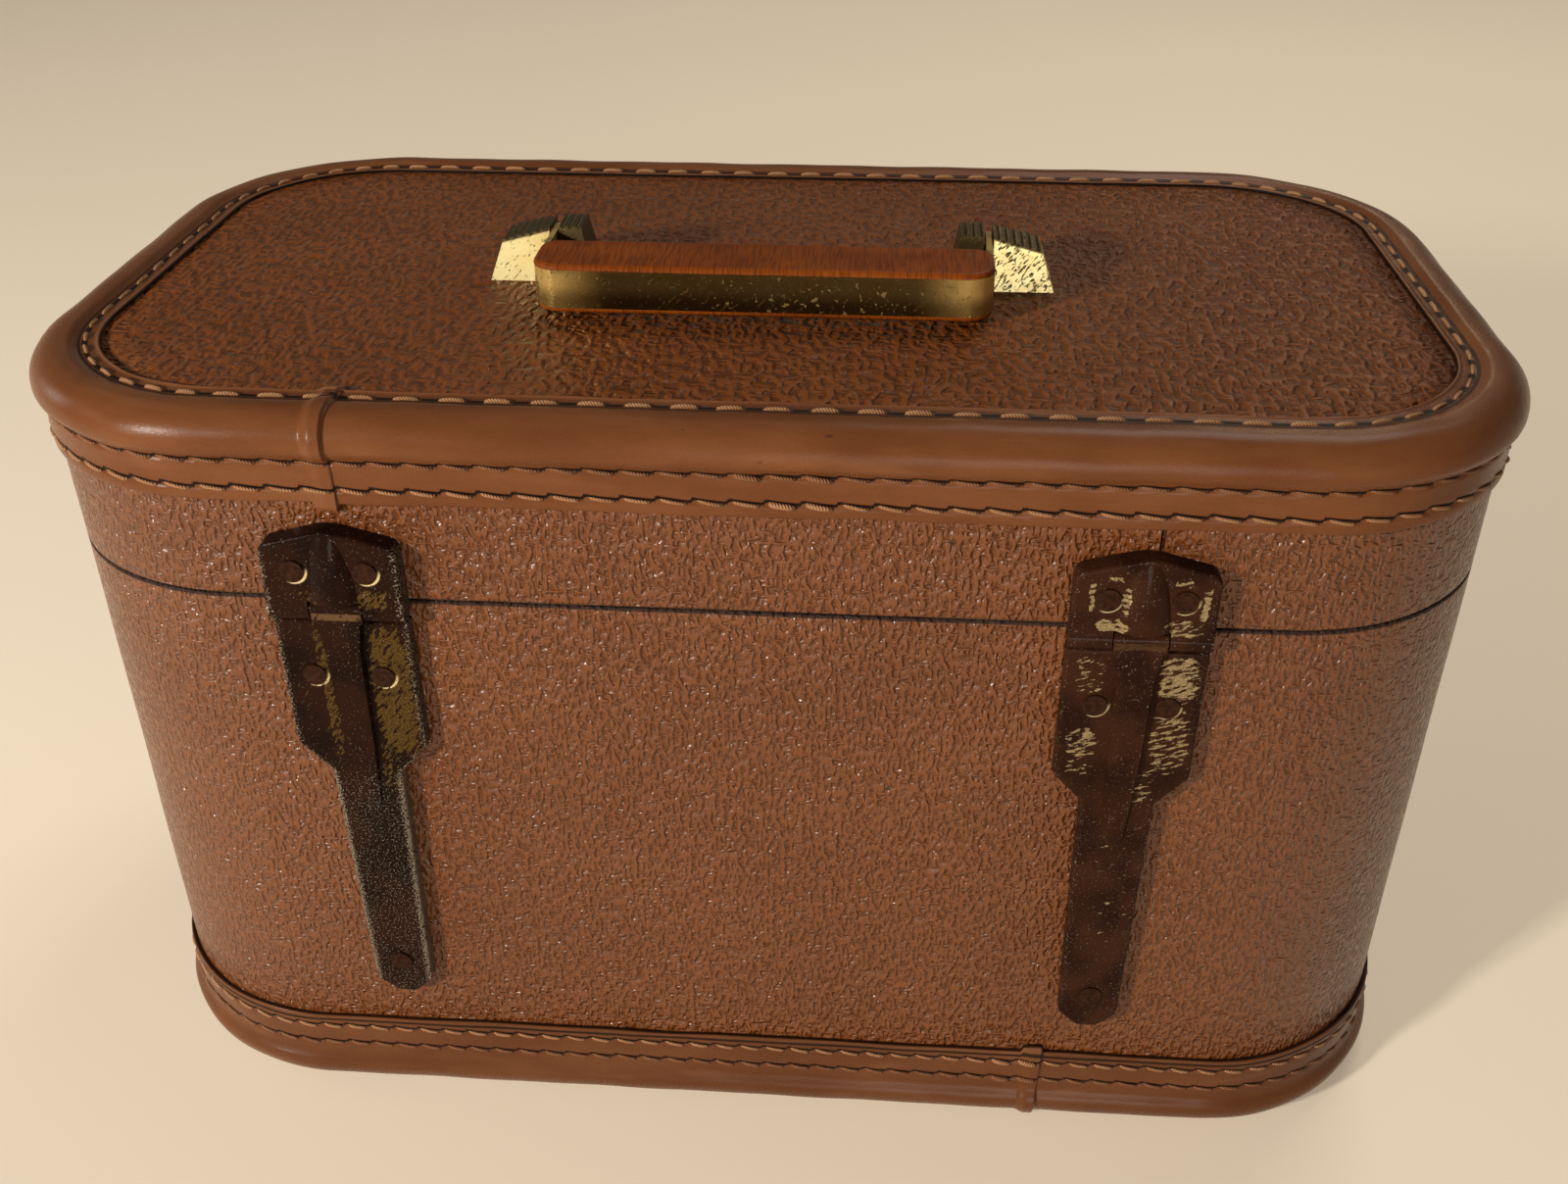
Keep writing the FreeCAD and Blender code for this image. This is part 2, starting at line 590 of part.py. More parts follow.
def hinge_base_leaf():
    """Lower leaf: winged plate that tapers to a strap, with a rib that runs up to the middle knuckle."""
    top = PIN_HEIGHT - KNUCKLE_RADIUS - KNUCKLE_CLEARANCE
    shoulder = PIN_HEIGHT - BASE_LEAF_SHOULDER + KNUCKLE_CLEARANCE
    neck = shoulder - STRAP_TAPER
    right = [
        (half_hinge, top, 0),
        (half_hinge, shoulder, STRAP_CORNER),
        (STRAP_TOP_WIDTH / 2, neck, STRAP_CORNER),
        (STRAP_END_WIDTH / 2, STRAP_TIP_HEIGHT + STRAP_TIP, STRAP_CORNER),
        (STRAP_TIP_WIDTH / 2, STRAP_TIP_HEIGHT, STRAP_TIP_ROUND),
    ]
    left = [(-x, z, r) for x, z, r in reversed(right)]
    plate = rear_plate(right + left, BASE_LEAF_PROUD)
    rib_end = PIN_HEIGHT - RIB_LENGTH
    rib = Part.makeLoft(
        [
            rib_section(2 * half_tongue, RIB_PROUD_AT_PIN, PIN_HEIGHT - KNUCKLE_RADIUS),
            rib_section(RIB_NECK_WIDTH, RIB_PROUD_AT_PIN, PIN_HEIGHT - KNUCKLE_RADIUS - RIB_NECK_DROP),
            rib_section(RIB_SHOULDER_WIDTH, RIB_PROUD_AT_SHOULDER, shoulder),
            rib_section(RIB_END_WIDTH, RIB_PROUD_AT_END, rib_end),
            rib_section(RIB_END_WIDTH - 2 * RIB_FLANK, BASE_LEAF_PROUD, rib_end - RIB_NOSE),
        ],
        True,
        True,
    )
    tongue = rear_block(half_tongue, 0, RIB_PROUD_AT_PIN, PIN_HEIGHT - KNUCKLE_RADIUS, PIN_HEIGHT)
    root_foot = top - LEAF_EDGE_ROUND
    tongue_root = rear_block(half_tongue, 0, BASE_LEAF_PROUD, root_foot, PIN_HEIGHT - KNUCKLE_RADIUS)
    knuckle = rear_rod(KNUCKLE_RADIUS, -half_tongue, half_tongue)
    bore = rear_rod(PIN_RADIUS, -half_tongue, half_tongue)
    return joined([plate, rib, tongue, tongue_root, knuckle]).cut(bore)


lid_leaf = hinge_lid_leaf()
base_leaf = hinge_base_leaf()
hinge_pin = rear_rod(PIN_RADIUS, -half_hinge, half_hinge)
for name, centre in HINGE_CENTRES.items():
    shift = Vector(centre, 0, 0)
    nodes["hinge_lid_leaf_" + name] = without(lid_leaf.translated(shift), lid_wall_holes)
    nodes["hinge_base_leaf_" + name] = without(base_leaf.translated(shift), base_wall_holes)
    nodes["hinge_pin_" + name] = hinge_pin.translated(shift)
nodes["hinge_lid_rivets"] = rivets(lid_hinge_rivets, -1, LID_LEAF_PROUD)
nodes["hinge_base_rivets"] = rivets(base_hinge_rivets, -1, BASE_LEAF_PROUD)


# Carrying handle, drawn about the Z axis and then set in its place.
def handle_plan(inset, back, z):
    """Plan of the grip's outer face and ends, drawn in by an inset and ending at a line behind it."""
    half = GRIP_LENGTH / 2 - inset
    front = -HANDLE_REACH + inset
    corner = GRIP_FRONT_CORNER - inset
    bulge = corner * (1 - math.sqrt(0.5))
    left_arc = [
        Vector(-half, front + corner, z),
        Vector(-half + bulge, front + bulge, z),
        Vector(-half + corner, front, z),
    ]
    right_arc = [Vector(-p.x, p.y, p.z) for p in reversed(left_arc)]
    left_end, right_end = Vector(-half, back, z), Vector(half, back, z)
    return Part.Wire(
        [
            Part.LineSegment(left_end, left_arc[0]).toShape(),
            Part.Arc(*left_arc).toShape(),
            Part.LineSegment(left_arc[2], right_arc[0]).toShape(),
            Part.Arc(*right_arc).toShape(),
            Part.LineSegment(right_arc[2], right_end).toShape(),
            Part.LineSegment(right_end, left_end).toShape(),
        ]
    )


def handle_slab(inset, back, thickness):
    """Prism over the handle's plan, centred on the height of its pivots."""
    low = PIVOT_HEIGHT - thickness / 2
    return Part.Face(handle_plan(inset, back, low)).extrude(Vector(0, 0, thickness))


grip_back = GRIP_DEPTH - HANDLE_REACH
band_strip = handle_slab(0, 0, BAND_WIDTH).cut(handle_slab(BAND_THICKNESS, 0, BAND_WIDTH))
eyes = []
eye_bores = []
for side in (-1, 1):
    inner_x = side * (band_centre - BAND_THICKNESS / 2)
    outer_x = side * (band_centre + BAND_THICKNESS / 2)
    eyes.append(rod(BAND_WIDTH / 2, (inner_x, 0, PIVOT_HEIGHT), (outer_x, 0, PIVOT_HEIGHT)))
    eye_bores.append(
        rod(HANDLE_PIN_RADIUS + RUNNING_CLEARANCE, (inner_x, 0, PIVOT_HEIGHT), (outer_x, 0, PIVOT_HEIGHT))
    )
nodes["handle_band"] = without(joined([band_strip] + eyes), eye_bores).translated(HANDLE_PLACE)

grip = handle_slab(0, grip_back, GRIP_THICKNESS)
back_edges = [e for e in grip.Edges if all(abs(v.Point.y - grip_back) < SAME_PLACE for v in e.Vertexes)]
back_posts = [e for e in back_edges if e.BoundBox.ZLength > SAME_PLACE]
grip = grip.makeFillet(GRIP_BACK_CORNER, back_posts)
flat_edges = [e for e in grip.Edges if e.BoundBox.ZLength < SAME_PLACE]
beside_band = (GRIP_THICKNESS - BAND_WIDTH) / 2
grip = grip.makeFillet(min(GRIP_EDGE_ROUND, beside_band - GRIP_EDGE_LAND), flat_edges)
nodes["handle_grip"] = grip.cut(band_strip).translated(HANDLE_PLACE)


def handle_bracket(side):
    """Wedge-shaped clevis with a fluted top, whose slot takes the eye of the handle's band."""
    base = LID_PANEL_HEIGHT
    inner = band_centre - slot_half - BRACKET_INNER_CHEEK
    outer = band_centre + slot_half + BRACKET_OUTER_CHEEK
    top_inner = inner + BRACKET_FACE_SLOPE
    top_outer = outer - BRACKET_END_SLOPE
    half = BRACKET_DEPTH / 2
    profile = [
        (inner, base),
        (outer, base),
        (top_outer, base + BRACKET_OUTER_HEIGHT),
        (band_centre, base + BRACKET_HEIGHT),
        (top_inner, base + BRACKET_HEIGHT),
    ]
    block = polygon([Vector(side * x, -half, z) for x, z in profile]).extrude(Vector(0, BRACKET_DEPTH, 0))
    lean = BRACKET_FACE_SLOPE / BRACKET_HEIGHT
    above = 2 * BRACKET_HEIGHT
    faces = []
    for way in (-1, 1):
        wedge = [
            Vector(side * inner, way * half, base),
            Vector(side * inner, way * (half - lean * above), base + above),
            Vector(side * inner, way * half, base + above),
        ]
        faces.append(polygon(wedge).extrude(Vector(side * (outer - inner), 0, 0)))
    slot = box_between(
        (min(side * (band_centre - slot_half), side * (band_centre + slot_half)), -half, base + BRACKET_SOLE),
        (max(side * (band_centre - slot_half), side * (band_centre + slot_half)), half, base + above),
    )
    flutes = []
    run = top_outer - band_centre - slot_half
    fall = (BRACKET_HEIGHT - BRACKET_OUTER_HEIGHT) / (top_outer - band_centre)
    for index in range(FLUTE_COUNT):
        along = slot_half + run * (index + 0.5) / FLUTE_COUNT
        x, z = side * (band_centre + along), base + BRACKET_HEIGHT - fall * along
        flutes.append(rod(FLUTE_RADIUS, (x, -half, z), (x, half, z)))
    inner_run = band_centre - slot_half - top_inner
    for index in range(INNER_FLUTE_COUNT):
        along = slot_half + inner_run * (index + 0.5) / INNER_FLUTE_COUNT
        x, z = side * (band_centre - along), base + BRACKET_HEIGHT
        flutes.append(rod(FLUTE_RADIUS, (x, -half, z), (x, half, z)))
    return without(block, faces + [slot] + flutes)


def handle_pivot(side):
    """Pin along X that is held in both cheeks of a bracket."""
    start = side * (band_centre - slot_half - HANDLE_PIN_SEAT)
    end = side * (band_centre + slot_half + HANDLE_PIN_OUTER_SEAT)
    return rod(HANDLE_PIN_RADIUS, (start, 0, PIVOT_HEIGHT), (end, 0, PIVOT_HEIGHT))


for name, side in (("left", -1), ("right", 1)):
    pivot = handle_pivot(side).translated(HANDLE_PLACE)
    bracket = handle_bracket(side).translated(HANDLE_PLACE)
    nodes["handle_bracket_" + name] = without(bracket, [pivot] + bracket_rivet_solids)
    nodes["handle_pivot_" + name] = pivot
nodes["handle_bracket_rivets"] = Part.makeCompound(bracket_rivet_solids)


# Front latch. "Out" is measured from the latch wall's face.
def on_front(x, out, z):
    """Point in front of the latch wall."""
    return Vector(x, FRONT_FACE + out, z)


def front_block(x_low, x_high, out_low, out_high, bottom, top):
    """Box on the latch wall."""
    return box_between((x_low, FRONT_FACE + out_low, bottom), (x_high, FRONT_FACE + out_high, top))


def front_rod(radius, x_low, x_high):
    """Rod along the hasp pin's axis."""
    y = FRONT_FACE + LATCH_PIN_STANDOFF
    return rod(radius, (x_low, y, latch_pin_height), (x_high, y, latch_pin_height))


def front_plate(width, bottom, top, corner, proud, edge_round):
    """Plate on the latch wall with rounded corners and, where asked, rounded front edges."""
    plate = rounded_plate(width, top - bottom, corner, 0, proud)
    if edge_round:
        rim = [e for e in plate.Edges if all(abs(v.Point.z - proud) < SAME_PLACE for v in e.Vertexes)]
        plate = plate.makeFillet(edge_round, rim)
    plate.rotate(Vector(0, 0, 0), Vector(1, 0, 0), -90)
    return plate.translated(on_front(0, 0, (bottom + top) / 2))


knuckle_in = HASP_KNUCKLE_WIDTH / 2 + KNUCKLE_CLEARANCE
knuckle_out = knuckle_in + LATCH_KNUCKLE_WIDTH
plate_bottom = latch_pin_height + LATCH_KNUCKLE_RADIUS + KNUCKLE_CLEARANCE
plate_top = latch_pin_height + LATCH_PLATE_ABOVE_PIN
plate_size = (LATCH_PLATE_WIDTH, plate_bottom, plate_top)
lid_plate = [front_plate(*plate_size, LATCH_PLATE_CORNER, LATCH_PLATE_THICKNESS, 0)]
for side in (-1, 1):
    x_low, x_high = sorted((side * knuckle_in, side * knuckle_out))
    lid_plate.append(front_rod(LATCH_KNUCKLE_RADIUS, x_low, x_high))
    arm_top = plate_bottom + LATCH_PLATE_CORNER
    arm_out = LATCH_PIN_STANDOFF - LATCH_PIN_RADIUS
    lid_plate.append(front_block(x_low, x_high, 0, LATCH_PLATE_THICKNESS, latch_pin_height, arm_top))
    lid_plate.append(front_block(x_low, x_high, 0, arm_out, latch_pin_height, plate_bottom))
hasp_pin = front_rod(LATCH_PIN_RADIUS, -knuckle_out, knuckle_out)
nodes["latch_lid_plate"] = without(joined(lid_plate), [hasp_pin] + lid_wall_holes)
nodes["latch_hasp_pin"] = hasp_pin
nodes["latch_lid_rivets"] = rivets(latch_lid_rivets, 1, LATCH_PLATE_THICKNESS)


def latch_hasp():
    """Flat tongue hung from the hasp pin, with its lower end curled out for a thumb."""
    half = HASP_WIDTH / 2
    back, front = HASP_STANDOFF, HASP_STANDOFF + HASP_THICKNESS
    end = latch_pin_height - HASP_LENGTH
    bend = end + HASP_CURL
    side_view = [
        (back, latch_pin_height),
        (front, latch_pin_height),
        (front, bend),
        (front + HASP_CURL_OUT, end),
        (back + HASP_CURL_OUT, end),
        (back, bend),
    ]
    tongue = polygon([on_front(-half, out, z) for out, z in side_view]).extrude(Vector(HASP_WIDTH, 0, 0))
    depth = HASP_CURL_OUT + front
    shape = front_plate(HASP_WIDTH, end, latch_pin_height + HASP_CORNER, HASP_CORNER, depth, 0)
    shoulder = latch_pin_height - LATCH_KNUCKLE_RADIUS - KNUCKLE_CLEARANCE
    room = front_block(-half, half, 0, depth, shoulder, plate_top)
    middle = HASP_KNUCKLE_WIDTH / 2
    neck_foot = shoulder - KNUCKLE_CLEARANCE
    neck = front_block(-middle, middle, back, front, neck_foot, latch_pin_height)
    hung = joined([tongue.common(shape).cut(room), neck, front_rod(LATCH_KNUCKLE_RADIUS, -middle, middle)])
    return hung.cut(front_rod(LATCH_PIN_RADIUS + RUNNING_CLEARANCE, -middle, middle))


nodes["latch_hasp"] = latch_hasp()

# The housing's right half carries the slide button and its left half the two rivets.
button_left = channel_half + BUTTON_FROM_CHANNEL
stem_left = button_left + (BUTTON_WIDTH - BUTTON_STEM) / 2
housing_bottom = housing_top - HOUSING_HEIGHT
housing_size = (HOUSING_WIDTH, housing_bottom, housing_top)
housing = front_plate(*housing_size, HOUSING_CORNER, HOUSING_PROUD, HOUSING_EDGE_ROUND)
channel = front_block(-channel_half, channel_half, HOUSING_SOLE, HOUSING_PROUD, housing_bottom, housing_top)
slide_slot = front_block(
    stem_left - BUTTON_CLEARANCE,
    stem_left + BUTTON_STEM + BUTTON_TRAVEL + BUTTON_CLEARANCE,
    HOUSING_PROUD - BUTTON_STEM_DEPTH - BUTTON_CLEARANCE,
    HOUSING_PROUD,
    housing_middle - BUTTON_STEM / 2 - BUTTON_CLEARANCE,
    housing_middle + BUTTON_STEM / 2 + BUTTON_CLEARANCE,
)
nodes["latch_housing"] = without(housing, [channel, slide_slot] + base_wall_holes)
nodes["latch_housing_rivets"] = rivets(housing_rivets, 1, HOUSING_PROUD)

pad_out = HOUSING_PROUD + BUTTON_CLEARANCE
pad = front_block(
    button_left,
    button_left + BUTTON_WIDTH,
    pad_out,
    pad_out + BUTTON_THICKNESS,
    housing_middle - BUTTON_HEIGHT / 2,
    housing_middle + BUTTON_HEIGHT / 2,
)
stem = front_block(
    stem_left,
    stem_left + BUTTON_STEM,
    HOUSING_PROUD - BUTTON_STEM_DEPTH,
    pad_out,
    housing_middle - BUTTON_STEM / 2,
    housing_middle + BUTTON_STEM / 2,
)
ridge_y = FRONT_FACE + pad_out + BUTTON_THICKNESS
ridges = []
for index in range(BUTTON_RIDGES):
    x = button_left + BUTTON_WIDTH * (index + 1) / (BUTTON_RIDGES + 1)
    low, high = housing_middle - BUTTON_HEIGHT / 2, housing_middle + BUTTON_HEIGHT / 2
    ridges.append(rod(BUTTON_RIDGE_RADIUS, (x, ridge_y, low), (x, ridge_y, high)))
nodes["latch_button"] = joined([pad, stem] + ridges)

os.makedirs("parts", exist_ok=True)
for name, shape in nodes.items():
    shape.exportStep("parts/" + name + ".step")
    print(name, "solids", len(shape.Solids), "valid", shape.isValid(), "volume", round(shape.Volume))
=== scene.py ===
import bmesh
import bpy
import math
import numpy as np
from mathutils import Matrix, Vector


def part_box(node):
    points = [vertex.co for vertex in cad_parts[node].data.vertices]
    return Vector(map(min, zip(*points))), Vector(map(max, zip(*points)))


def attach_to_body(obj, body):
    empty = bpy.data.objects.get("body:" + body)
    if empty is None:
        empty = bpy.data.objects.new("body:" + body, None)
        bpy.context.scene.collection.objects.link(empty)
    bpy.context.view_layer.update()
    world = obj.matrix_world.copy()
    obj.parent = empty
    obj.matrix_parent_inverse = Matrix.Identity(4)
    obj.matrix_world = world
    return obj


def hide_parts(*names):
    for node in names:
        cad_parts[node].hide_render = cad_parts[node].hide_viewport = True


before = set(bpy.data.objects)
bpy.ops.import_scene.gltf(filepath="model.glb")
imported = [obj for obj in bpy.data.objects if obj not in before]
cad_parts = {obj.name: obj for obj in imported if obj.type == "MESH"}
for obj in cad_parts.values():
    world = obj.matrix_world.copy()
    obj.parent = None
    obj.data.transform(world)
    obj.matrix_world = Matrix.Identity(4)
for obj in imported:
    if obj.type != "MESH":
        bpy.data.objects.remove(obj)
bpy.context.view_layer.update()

# Walls, floor board and top board: pale plywood, bent round the corners and glued up. They are covered on
# both sides, so that only their cut edges along the seam show, and then only when the lid is open.
MM = 0.001


class Shade:
    """A shader socket that takes part in Python sums: each operator on it adds one Math node."""

    def __init__(self, tree, socket=None):
        self.tree = tree
        self.socket = socket

    def node(self, kind, settings, inputs, output=0):
        """Adds a node of any kind: its settings first, then the values or links of its sockets."""
        made = self.tree.nodes.new(kind)
        for name, value in settings.items():
            setattr(made, name, value)
        for name, value in inputs.items():
            if isinstance(value, Shade):
                self.tree.links.new(value.socket, made.inputs[name])
            else:
                made.inputs[name].default_value = value
        return Shade(self.tree, made.outputs[output])

    def math(self, operation, first, second=0.0):
        return self.node("ShaderNodeMath", {"operation": operation}, {0: first, 1: second})

    def __add__(self, other):
        return self.math("ADD", self, other)

    def __radd__(self, other):
        return self.math("ADD", other, self)

    def __sub__(self, other):
        return self.math("SUBTRACT", self, other)

    def __rsub__(self, other):
        return self.math("SUBTRACT", other, self)

    def __mul__(self, other):
        return self.math("MULTIPLY", self, other)

    def __rmul__(self, other):
        return self.math("MULTIPLY", other, self)

    def __truediv__(self, other):
        return self.math("DIVIDE", self, other)

    def __pow__(self, other):
        return self.math("POWER", self, other)

    def __abs__(self):
        return self.math("ABSOLUTE", self)


def either(first, *others):
    """The highest of some values, as where worn patches overlap."""
    for other in others:
        first = first.math("MAXIMUM", first, other)
    return first


def ease(value, low, high):
    """Smooth step from 0 at low to 1 at high; it falls where low is above high."""
    span = {"Value": value, "From Min": low, "From Max": high}
    return value.node("ShaderNodeMapRange", {"interpolation_type": "SMOOTHSTEP"}, span)


def cloud(at, cells, detail=2.0, roughness=0.5):
    """Cloudy value about 0.5, with this many cells to the millimetre along each axis."""
    scaled = at.node("ShaderNodeVectorMath", {"operation": "MULTIPLY"}, {0: at, 1: cells})
    grain = {"Vector": scaled, "Scale": 1.0, "Detail": detail, "Roughness": roughness}
    return at.node("ShaderNodeTexNoise", {}, grain)


def tinted(share, first, second):
    """Colour that goes from the first to the second as the share goes from 0 to 1."""
    return share.node("ShaderNodeMix", {"data_type": "RGBA"}, {0: share, 6: first, 7: second}, 2)


def raised(height, depth):
    """Normal of a surface raised by a height from 0 to 1 times a depth in millimetres."""
    return height.node("ShaderNodeBump", {}, {"Height": height, "Distance": depth * MM, "Strength": 1.0})


def place(start):
    """Where a point lies on the case, in millimetres, whatever pose the case is in."""
    spot = start.node("ShaderNodeTexCoord", {}, {}, "Object")
    return start.node("ShaderNodeVectorMath", {"operation": "SCALE"}, {0: spot, "Scale": 1 / MM})


def parts_of(vector):
    """The three values of a vector."""
    return [vector.node("ShaderNodeSeparateXYZ", {}, {0: vector}, axis) for axis in "XYZ"]


def colour(red, green, blue):
    """Colour in the usual steps from 0 to 255, as the linear colour that a shader takes."""
    steps = np.array([red, green, blue]) / 255
    return (*np.where(steps < 0.04045, steps / 12.92, ((steps + 0.055) / 1.055) ** 2.4).tolist(), 1.0)


def finish(name, settled, paint):
    """Material with settled values on the shader's own sockets and the varying ones from a paint function."""
    made = bpy.data.materials.new(name)
    made.use_nodes = True
    tree = made.node_tree
    shader = tree.nodes["Principled BSDF"]
    for socket, value in settled.items():
        shader.inputs[socket].default_value = value
    for socket, value in paint(Shade(tree)).items():
        tree.links.new(value.socket, shader.inputs[socket])
    return made


def dress(material, *names):
    """Gives a material to parts that keep the shape of their solids."""
    for name in names:
        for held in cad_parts[name].material_slots:
            held.material = material


def plywood(start):
    """Long fine grain round the case, with a thin ply line every 1.3 mm up the board."""
    spot = place(start)
    grain = cloud(spot, (0.05, 0.05, 2.4), 4.0, 0.6)
    mottle = cloud(spot, (0.06, 0.06, 0.06))
    wood = tinted(ease(grain, 0.35, 0.65), colour(150, 111, 70), colour(190, 152, 106))
    stained = tinted(ease(mottle, 0.5, 0.75) * 0.5, wood, colour(132, 92, 56))
    return {"Base Color": stained, "Roughness": 0.55 + grain * 0.3, "Normal": raised(grain, 0.1)}


dress(
    finish("plywood", {"Specular IOR Level": 0.3}, plywood),
    "base_wall",
    "base_floor_board",
    "lid_wall",
    "lid_top_board",
)

# Covering of the walls and panels: brown leathercloth glued over the boards, embossed with short upright
# ridges crossed by level bars. Its two ends butt together behind the right-hand hinge.
WALL_LOW, WALL_HIGH = (np.array(corner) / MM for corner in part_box("base_covering"))
LID_LOW, LID_HIGH = (np.array(corner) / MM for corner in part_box("lid_covering"))
HALF_WIDTH, HALF_DEPTH = WALL_HIGH[:2]
CORNER = 51.0
TURN_X, TURN_Y = HALF_WIDTH - CORNER, HALF_DEPTH - CORNER
QUARTER = CORNER * math.pi / 2
LEGS = [0, TURN_X, QUARTER, 2 * TURN_Y, QUARTER, 2 * TURN_X, QUARTER, 2 * TURN_Y, QUARTER, TURN_X]
STATIONS = np.cumsum(LEGS)
ROUND = STATIONS[-1]
HEADINGS = np.radians([-90, -90, 0, 0, 90, 90, 180, 180, 270, 270])
CENTRES_X = TURN_X * np.array([0, 1, 1, 1, 1, -1, -1, -1, -1, 0])
CENTRES_Y = TURN_Y * np.array([-1, -1, -1, 1, 1, 1, 1, -1, -1, -1])
COVER_THICKNESS = 0.8
COVER_SEAM = 85.5
SOFT_EDGE, EDGE_STEP = 0.5, 0.1
COVER_SPACING = 3.0
BESIDE_SEAM = [-1.2, -0.6, -0.3, 0.3, 0.6, 1.2]
SEAM_GAP, SEAM_REACH = 0.35, 0.4
HAND_WAVE = 0.05


def round_case(along, out, height):
    """Points beside the case. The plan is walked to the right from the middle of the hinge wall, as straight
    runs and quarter turns, and each point lies out from the covering's face by a distance square to it."""
    along = np.asarray(along) % ROUND
    heading = np.interp(along, STATIONS, HEADINGS)
    x = np.interp(along, STATIONS, CENTRES_X) + (CORNER + out) * np.cos(heading)
    y = np.interp(along, STATIONS, CENTRES_Y) + (CORNER + out) * np.sin(heading)
    return np.stack(np.broadcast_arrays(x, y, height), axis=-1)


def smooth(value, low, high):
    """Smooth step from 0 at low to 1 at high, on arrays."""
    share = np.clip((value - low) / (high - low), 0, 1)
    return share * share * (3 - 2 * share)


def put_mesh(name, points, faces, marks):
    """Object from points in millimetres, faces as lists of corners, and each corner's surface place."""
    mesh = bpy.data.meshes.new(name)
    mesh.from_pydata(points * MM, [], faces)
    mesh.uv_layers.new(name="surface").data.foreach_set("uv", np.asarray(marks, np.float32).ravel())
    worked = bmesh.new()
    worked.from_mesh(mesh)
    bmesh.ops.remove_doubles(worked, verts=worked.verts, dist=1e-7)
    worked.to_mesh(mesh)
    worked.free()
    mesh.shade_smooth()
    made = bpy.data.objects.new(name, mesh)
    bpy.context.scene.collection.objects.link(made)
    return made


def put_surface(name, points, marks):
    """Object from a grid of points: one face to each cell of the grid of marks. The grid joins up with itself
    where the marks have one row or column more than the points."""
    rows, columns = points.shape[:2]
    row, column = np.indices((marks.shape[0] - 1, marks.shape[1] - 1))
    corners = [(row, column), (row + 1, column), (row + 1, column + 1), (row, column + 1)]
    faces = np.stack([(r % rows) * columns + c % columns for r, c in corners], axis=-1)
    spots = np.stack([marks[r, c] for r, c in corners], axis=-2)
    return put_mesh(name, points.reshape(-1, 3), faces.reshape(-1, 4).tolist(), spots.reshape(-1, 2))


def turned(points, marks):
    """The same closed section walked the other way, so that a mirrored surface still faces outwards."""
    return np.roll(points[:, ::-1], 1, axis=1), marks[:, ::-1]


def stations(spacing, seam_spacing=()):
    """Places once round the case from a seam, closer together beside it."""
    even = np.linspace(0, ROUND, round(ROUND / spacing), endpoint=False)
    beside = np.asarray(seam_spacing, float) % ROUND
    return np.unique(np.concatenate([even, beside]))


def carried_round(name, start, along, section_out, section_height):
    """Closed section carried once round the case from a start place. The section may change along the way.
    The marks are millimetres along the case and along the section."""
    shape = (len(along), section_out.shape[-1])
    out, height = np.broadcast_to(section_out, shape), np.broadcast_to(section_height, shape)
    points = round_case(start + along[:, None], out, height)
    steps = np.hypot(np.diff(out[0], append=out[0, :1]), np.diff(height[0], append=height[0, :1]))
    lengths = np.concatenate([[0], np.cumsum(steps)])
    marks = np.stack(np.meshgrid(np.append(along, ROUND), lengths, indexing="ij"), axis=-1)
    return put_surface(name, points, marks)


def attach(piece, material, body, slot, *nodes):
    """Finishes a piece: its material, the body it moves with and the solids it stands for. The slot is not
    used.
    """
    piece.data.materials.append(material)
    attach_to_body(piece, body)
    if nodes:
        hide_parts(*nodes)


def on_surface(start):
    """Place on a piece's own surface, in millimetres."""
    return start.node("ShaderNodeUVMap", {"uv_map": "surface"}, {})


def leathercloth(tones, spread, valley, gloss, depth, tall, seamed):
    """Emboss: short upright ridges and level bars are stretched clouds cut to flat-topped ridges, the higher
    of the two showing. The valleys get painted shade, and some of the ridges keep a bright lacquer. On a
    wall a band of painted shade runs along both edges of the covering, for the shadow in the seam and at
    its other edge."""

    def paint(start):
        spot = on_surface(start)
        upright = ease(cloud(spot, (0.98 / spread, 0.43 / spread, 1.0), 0.5), 0.28, 0.66)
        level = ease(cloud(spot, (0.43 / spread, 1.08 / spread, 1.0), 0.5), 0.36, 0.74)
        ridge = either(upright, level)
        fine = cloud(spot, (3.4, 3.0, 1.0), 2.0)
        glint = ease(cloud(spot, (0.33, 0.40, 1.0), 2.0), 0.46, 0.64)
        mottle = cloud(spot, (0.02, 0.03, 1.0), 2.0)
        speck = ease(cloud(spot, (0.45, 0.45, 1.0), 0.0), 0.83, 0.87)
        tone = tinted(ease(mottle, 0.25, 0.75), *tones)
        # Painted shade: the valleys between the ridges are darkened by the valley share.
        shaded = tinted((1 - ridge) * valley, tone, colour(50, 23, 11))
        marked = tinted(speck * 0.8, shaded, colour(50, 26, 14))
        height = ridge + fine * 0.10
        across, up, _ = parts_of(spot)
        lacquer = gloss - glint * gloss * 0.5 + (fine - 0.5) * 0.08
        if tall:
            # Painted shade: a dark band along both edges of the wall covering, in place of the shadow in the
            # seam.
            cut = either(1 - ease(up, 0.1, 0.45), ease(up, tall - 0.45, tall - 0.1))
            marked = tinted(cut * 0.9, marked, colour(34, 15, 7))
            lacquer = lacquer + cut * 0.6
        if seamed:
            joint = ease(either(0.55 - across, across - (ROUND - 0.55)), 0.0, 0.4)
            marked = tinted(joint * 0.9, marked, colour(40, 20, 11))
            height = height - joint * 2.0
        return {"Base Color": marked, "Roughness": lacquer, "Normal": raised(height, depth)}

    return paint


